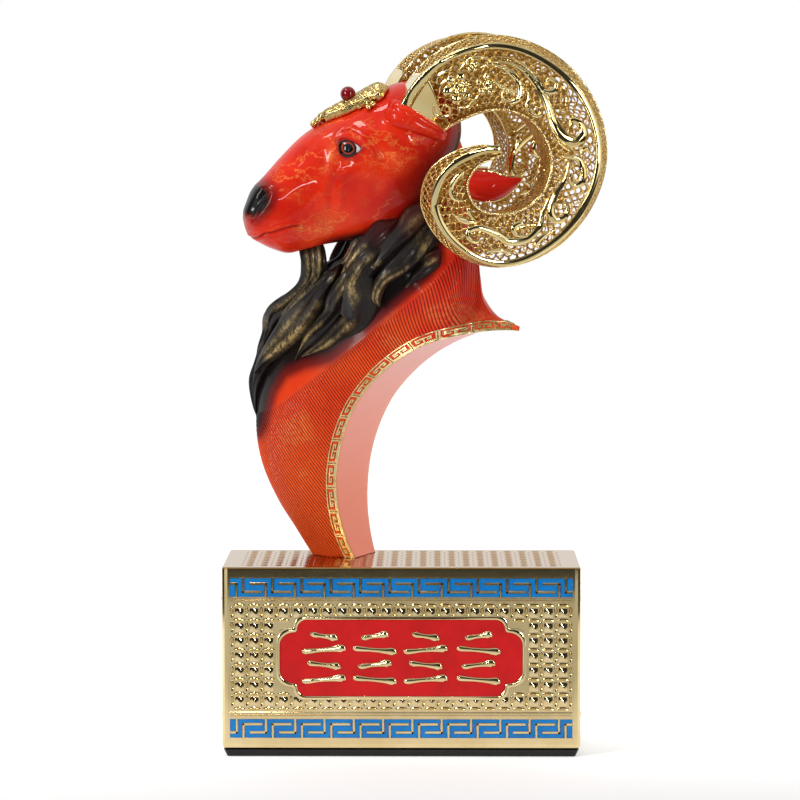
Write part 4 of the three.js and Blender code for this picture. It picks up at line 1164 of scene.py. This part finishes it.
def beard():
    """Each lock is a flat tapering rod: half a round plus a crest that swings from side to side along it,
    like a flame, with a shallow groove and a lower crest beside it; it lies no deeper than the neck's
    skin."""
    along, sides = 72, 44
    shell = Shell("ridge", "warm")
    for number, rows in enumerate(LOCKS):
        rows = np.array(rows)
        root = (rows[0] + (rows[0] - rows[1]) * [0.9, 0.9, 0.0, 0.0] - [0, 0, 9, 0]) * [1, 1, 1, 0.3]
        rows = np.concatenate([[root], rows])
        rows[1, 2] -= 2
        x, z, reach, r = columns(rows, np.linspace(0, 1, along))
        r = np.maximum(r, 0.25)
        tau, v = neck_find(x, z)
        skin = neck_point(tau, v)
        over = np.hypot(skin[:, 0] - x, skin[:, 2] - z) < 0.5
        reach = np.where(over, np.maximum(reach, -skin[:, 1] - 0.1 * r), reach)
        reach = np.convolve(np.pad(reach, 8, mode="edge"), np.ones(17) / 17, "valid")
        t = np.linspace(0, 1, along)[:, None]
        a = turns(sides)[None]
        u = np.cos(a)
        swing = 0.42 * np.sin(2.3 * number + 4.2 * t)
        outer = (np.sin(a) > 0) * ease(0.0, 0.3, np.sin(a))
        fold = (0.42 * hill(u - swing, 0.3) - 0.16 * hill(u - swing - 0.5, 0.22)
                + 0.2 * hill(u - swing + 0.75, 0.25))
        thick = 1.5 + 0.46 * r[:, None]
        high = thick * np.sin(a) * (0.72 + fold * outer)
        grid = carry(stack(x, -reach, z), np.array([0.0, -1.0, 0.0]), stack(u * r[:, None], high))
        crests = 1.1 * hill(u - swing, 0.26) + 0.7 * hill(u - swing + 0.75, 0.2) + 0.2
        ridge = np.clip(crests, 0, 1) * outer * ease(0.05, 0.25, t) * np.ones_like(high)
        warm = np.broadcast_to(0.75 * (1 - ease(0.1, 0.5, t)) * (number in (3, 4, 9)), ridge.shape)
        if number == 0:
            shell.strips(attitude(grid), ridge=ridge, warm=warm)
        else:
            shell.both(grid, ridge=ridge, warm=warm)
    return shell


# Forehead plate and stone
def forehead_plate():
    """A pointed saddle over the brow, grained on top and smooth along its edge; with balls at its ends."""
    rows = [[57, .14], [62, .22], [68, .28], [74, .31], [80, .35], [86, .42], [92.4, .24]]
    t = np.linspace(0, 1, 110)
    s, spread = columns(rows, t)
    u = np.linspace(-1, 1, 61)
    scallop = 1 + 0.035 * np.cos(7 * np.pi * t)
    a = np.pi / 2 + (spread * scallop)[:, None] * u[None]
    place = np.interp(s, [r[0] for r in HEAD], np.arange(len(HEAD)) / (len(HEAD) - 1))[:, None]
    curl = 2.2 * np.abs(u[None]) + 0.25 * np.sin(0.9 * s[:, None])
    lines = (hill(np.sin(0.55 * s[:, None] + 5 * curl), 0.42)
             + hill(np.sin(0.5 * s[:, None] - 4.2 * curl + 1), 0.36))
    grains = 0.9 * np.clip(lines, 0, 1) + 0.25 * chance.random((110, 61))
    inside = (1 - ease(0.74, 0.84, np.abs(u)))[None] * (ease(0, 0.08, t) * ease(1, 0.93, t))[:, None]
    dome = (1 - np.abs(u) ** 4) ** 0.5
    band = 1.3 * hill(np.abs(u) - 0.88, 0.09)[None]
    thick = (0.6 + 3.4 * dome[None] + band) * ((1 - np.abs(2 * t - 1) ** 5) ** 0.5 * 0.5 + 0.5)[:, None]
    top = on_head(*head_ring(place, a, 0.35 + thick + (grains - 0.5) * inside))
    under = on_head(*head_ring(place, a, 0.2))
    ring = np.concatenate([top, under[:, ::-1]], 1)
    shell = Shell()
    shell.strips(attitude(ring))
    tip = np.array([[51.6, 22.8, 0, 1.9], [54.2, 23.2, -1.3, 1.9], [54.2, 23.2, 1.4, 1.9],
                    [57, 23.8, 0, 2.5]])
    side = np.array([[79, 20.2, 12.4, 2.0], [80.6, 19.2, 14.9, 1.6], [77.6, 19.0, 15.1, 1.6],
                     [74, 20.6, 11.4, 1.2]])
    s, h, y, radius = np.concatenate([tip, side, side * [1, 1, -1, 1]]).T
    bead = ball(np.linspace(0.05, np.pi - 0.05, 14), 24)
    shell.strips(attitude(on_head(s, h, y)[:, None, None] + bead * radius[:, None, None, None]))
    return shell


def stone():
    """The round stone in the middle of the plate."""
    shell = Shell()
    shell.strips(attitude(on_head(74.2, 27.6, 0.0) + ball(np.linspace(0.02, np.pi - 0.02, 30), 48) * 3.9))
    return shell


# Plinth
def face(side):
    """Maps length along a side, height and lift off its sunk ground to the plinth's outside."""
    x_out, y_out = 89.2, 39.2
    return {"front": lambda u, z, lift: stack(u, -y_out - lift, z),
            "back": lambda u, z, lift: stack(-u, y_out + lift, z),
            "right": lambda u, z, lift: stack(x_out + lift, u, z),
            "left": lambda u, z, lift: stack(-x_out - lift, -u, z)}[side]


FIELDS = {"front": 172.0, "back": 172.0, "right": 72.0, "left": 72.0}
PANEL_Z = 50.0
SQUARE = np.array([[-1, -1], [1, -1], [1, 1], [-1, 1]])


def studs(outline, centres, sizes, lifts, lay):
    """Copies of an outline round each centre, in steps; each step has a size and a lift off the ground."""
    corners = outline * np.array(sizes).reshape(1, len(lifts), 1, -1) + centres[:, None, None]
    lift = np.broadcast_to(np.reshape(lifts, (-1, 1)), corners.shape[:-1])
    return lay(corners[..., 0], corners[..., 1], lift)


def lens(long, wide):
    """Outline of a lens with its points drawn out: long * cos t and wide * sin t * |sin t|^0.3."""
    t = turns(12)
    return stack(long * np.cos(t), wide * np.sin(t) * np.abs(np.sin(t)) ** 0.3)


def tablet_outline(grow=0.0):
    """A panel with a lobe at each end, one quarter drawn and mirrored twice; rounded by short arcs."""
    w, h, u, v = 52.2 + grow, 19.4 + grow, 61.0 + grow, 13.0 + grow
    t = np.linspace(0, np.pi / 2, 8)
    lobe = np.column_stack([u - 6 + 6 * np.cos(t), v - 6 + 6 * np.sin(t)])
    lobe[:, 0] -= 1.2 * (lobe[:, 1] / v) ** 4
    notch = np.column_stack([w + 1.5 - 1.5 * np.sin(t), v + 1.5 - 1.5 * np.cos(t)])
    corner = np.column_stack([w - 5 + 5 * np.cos(t), h - 5 + 5 * np.sin(t)])
    quarter = np.concatenate([[[u, 0.0], [u, v * 0.3]], lobe, notch, corner, [[w * 0.5, h]]])
    half = np.concatenate([quarter, quarter[::-1] * [-1, 1]])
    return np.concatenate([half, half[::-1] * [1, -1]])


def lattice(side, shell):
    """Coins on a square grid: each side of a square carries a lens, and its middle a four-sided pyramid. On
    the front, those that would touch the tablet's frame are left out."""
    long, lay = FIELDS[side] - 2.4, face(side)
    count = round((FIELDS[side] - 2) / 7.27)
    pitch = long / count
    rows, low, high = 7, 24.2, 76.4
    tall = (high - low) / rows

    def centres(i, j, margin):
        """Points of the grid at steps i along it and j up it, clear of the tablet by a margin."""
        i, j = np.meshgrid(i, j, indexing="ij")
        x, z = (i * pitch - long / 2).ravel(), (low + j * tall).ravel()
        ax, az = np.abs(x), np.abs(z - PANEL_Z)
        under = ((ax < 53.6 + margin) & (az < 20.8 + margin)) | ((ax < 62.4 + margin) & (az < 14.4 + margin))
        return stack(x, z)[~under | (side != "front")]

    between = centres(np.arange(count) + 0.5, np.arange(rows) + 0.5, 1.1)
    shell.strips(studs(SQUARE * 2.25, between, [1.0, 0.98, 0.04], [-0.1, 0.2, 1.08], lay))
    sizes, lifts = np.array([[1.0, 1.0], [0.97, 0.9], [0.86, 0.62], [0.5, 0.2]]), [-0.1, 0.7, 0.75, 0.15]
    level = centres(np.arange(count) + 0.5, np.arange(rows + 1), 0.5)
    shell.strips(studs(lens(3.1, 1.02), level, sizes, lifts, lay))
    upright = centres(np.arange(count + 1), np.arange(rows) + 0.5, 0.9)
    shell.strips(studs(lens(3.1, 1.02)[:, ::-1], upright, sizes[:, ::-1], lifts, lay))


def key_band(side, middle, way):
    """Hooks of the key band: one hangs from the upper rule and turns right, one rises from the lower and
    turns left; a hook that the band's end cuts keeps only its level bar."""
    wide = FIELDS[side]
    long_side = wide > 100
    edge = wide / 2 - 0.8
    pitch = 14.69 if long_side else 14.3
    count = math.ceil(wide / pitch) + 1
    x = (np.arange(count) - (count - 1) / 2) * pitch
    x = x + (pitch / 2 if long_side else 0.0)
    hang, rise = x + 1.7, x - 1.7
    runs = np.concatenate([stack(*bar) for bar in (
        (hang, 4.6, hang, -2.2), (hang, -2.2, hang + 8.8, -2.2),
        (rise, -4.6, rise, 1.9), (rise, 1.9, rise - 7.6, 1.9))])
    level = runs[:, 1] == runs[:, 3]
    low, high = np.minimum(runs[:, 0], runs[:, 2]), np.maximum(runs[:, 0], runs[:, 2])
    keep = np.where(level, (high > -edge + 1) & (low < edge - 1), np.abs(runs[:, 0]) < edge - 1)
    runs = runs[keep] * [1, way, 1, way]
    runs[:, [0, 2]] = np.clip(runs[:, [0, 2]], -edge, edge)
    runs = runs + np.array([0, middle, 0, middle])
    return plates(runs, 0.72, [0.0, 0.7, 0.98], [0.0, 0.04, 0.3], face(side))


def plinth_pieces():
    """Enamel, hooks, rules and lattice on each side, and the tablet with its frame on the front."""
    blue_shell, hooks, coins, red_shell, frame_shell = Shell(), Shell(), Shell(), Shell(), Shell()
    for side, wide in FIELDS.items():
        lay = face(side)
        for middle, way in ((85.4, 1), (14.2, -1)):
            ground = SQUARE * [wide / 2 - 0.1, 4.85]
            blue_shell.strips(studs(ground, np.array([[0, middle]]), [1, 1, 1], [-0.1, 0.3, 0.36], lay))
            hooks.strips(key_band(side, middle, way))
        for heights, short, half, lifts, insets in (
                (np.array([79.9, 78.7, 21.8, 20.6]), 1, 0.42, [0.0, 1.0, 1.2], [0, 0, 0.14]),
                (np.array([90.3, 80.5, 19.3, 9.4]), 0.4, 0.22, [0.0, 0.78, 0.84], [0, 0, 0.06])):
            rules = stack(short - wide / 2, heights, wide / 2 - short, heights)
            hooks.strips(plates(rules, half, lifts, insets, lay))
        lattice(side, coins)
    lay = face("front")
    red_shell.strips(studs(tablet_outline(), np.array([[0, PANEL_Z]]), [1.0, 0.995, 0.9, 0.5, 0.02],
                           [-0.05, 0.3, 0.32, 0.32, 0.32], lay))
    rings = []
    for grow, lift in ((-0.1, -0.1), (0.0, 0.8), (0.3, 1.06), (1.1, 1.06), (1.5, 0.8), (1.6, -0.1)):
        u, z = tablet_outline(grow).T
        rings.append(lay(u, z + PANEL_Z, lift))
    frame_shell.strips(np.stack(rings, 1), joined=True)
    return blue_shell, hooks, coins, red_shell, frame_shell


def stroke(rows):
    """A brush stroke on the tablet: a low domed strip carried along a curve, its width swelling and
    tapering."""
    x, z, half = columns(rows, np.linspace(0, 1, 12 * len(rows)))
    path = face("front")(x, z + PANEL_Z, 0.35)
    high = 0.5 + 0.25 * np.minimum(half, 1.4)
    a = turns(12)
    section = stack(np.cos(a) * half[:, None], np.sin(a) * high[:, None])
    return carry(path, np.array([0.0, -1.0, 0.0]), section)


def strokes():
    """Four groups of four level brush strokes, each thicker at its two ends."""
    shell = Shell()
    for k, x in enumerate((-39, -13.5, 12, 38.5)):
        for i, (up, half) in enumerate(((11, 5.5), (4, 9.5), (-3.5, 7), (-11, 9.5))):
            lean = 0.8 if (i + k) % 2 else -0.8
            shell.strips(stroke([
                [x - half - 0.9, up - lean + 0.8, 0.5], [x - half + 0.6, up - lean, 1.5],
                [x - half * 0.2, up - 0.2 * lean, 1.15], [x + half * 0.5, up + 0.5 * lean, 1.45],
                [x + half - 0.2, up + lean, 2.0], [x + half + 1.6, up + lean - 0.9, 0.5]]))
    return shell


def top_coins():
    """The flatter coin lattice on the plinth's top, inside a plain border."""
    count_x, count_y, pitch = 22, 9, 7.27

    def lay(x, y, lift):
        """A point of the top face, lifted off it."""
        return stack(x, y, 95.55 + lift)

    def centres(nx, ny):
        """The middles of nx by ny squares about the middle of the top."""
        i, j = np.meshgrid(np.arange(nx) - (nx - 1) / 2, np.arange(ny) - (ny - 1) / 2, indexing="ij")
        return stack(i.ravel() * pitch, j.ravel() * pitch)

    shell = Shell()
    shell.strips(studs(SQUARE * 1.75, centres(count_x, count_y), [1.0, 0.9, 0.12], [-0.1, 0.02, 0.3], lay))
    outline = lens(2.9, 0.92)
    for shape, nx, ny in ((outline, count_x, count_y + 1), (outline[:, ::-1], count_x + 1, count_y)):
        shell.strips(studs(shape, centres(nx, ny), [1.0, 0.8, 0.3], [-0.1, 0.1, 0.25], lay))
    return shell


# The pieces
make("head", head_skin(), lacquer, replaces=("bust",))
make("eyes", eye(), eye_finish("painted_eye"))
ear_shell, ear_rims = Shell("soot", "deep", "dust"), Shell()
leaf, rim_a, rim_b = ear()
ear_shell.both(leaf)
for line in (rim_a, rim_b):
    ear_rims.both(carry(line[4:], np.array([0.5, -1.0, 0.0]), loop_profile(0.55, 0.55, 8)))
make("ears", ear_shell, lacquer)
make("ear_rims", ear_rims, polished)
collars = Shell("soot", "deep", "dust")
for roll in collar_rings():
    collars.both(roll, joined=True, dust=0.25)
make("horn_collars", collars, lacquer)
make("neck", neck_skin(), neck_red)
make("neck_ribs", ribs(), neck_red)
make("neck_key_border", border_strips(), key_gold, crisp=35)
make("beard", beard(), bronze)
make("brow_plate", forehead_plate(), granulated, replaces=("forehead_plate",))
gem = Finish("dark_red_glass", rough=0.05, coat=0.5, coat_rough=0.02, sheen=0.2)
gem.bump(gem.noise(90, 2), 0.02, 0.0002)
gem.set(Base_Color=gem.mix(gem.noise(60), (0.1, 0.0, 0.002), (0.28, 0.002, 0.008)))
make("brow_stone", stone(), gem.material, replaces=("forehead_stone",))
for word, node, turn in (("near", "horn_left", attitude), ("far", "horn_right", far_attitude)):
    smooth, wires, inner_wires = horn(turn)
    make(word + "_horn_polished", smooth, polished, replaces=(node,))
    make(word + "_horn_wires", wires, wire_gold)
    make(word + "_horn_inner_wires", inner_wires, wire_gold_painted_shade)
blue_shell, hooks, coins, red_shell, frame_shell = plinth_pieces()
make("plinth_blue_enamel", blue_shell, blue, crisp=35)
make("plinth_key_hooks", hooks, plinth_gold, crisp=35)
make("plinth_coin_lattice", coins, plinth_gold, crisp=40)
make("plinth_top_coins", top_coins(), plinth_gold, crisp=40)
make("tablet_enamel", red_shell, tablet_red, crisp=35)
make("tablet_frame", frame_shell, plinth_gold, crisp=40)
make("tablet_strokes", strokes(), plinth_gold)
board = Finish("black_board", rough=0.5, sheen=0.2)
board.bump(board.noise(300, 4), 0.25, 0.0004)
board.set(Base_Color=board.mix(board.noise(80), (0.006, 0.006, 0.006), (0.02, 0.019, 0.018)))
for node, finish in (("plinth_box", plinth_gold), ("foot_board", board.material)):
    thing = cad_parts[node]
    thing.data.materials.clear()
    thing.data.materials.append(finish)
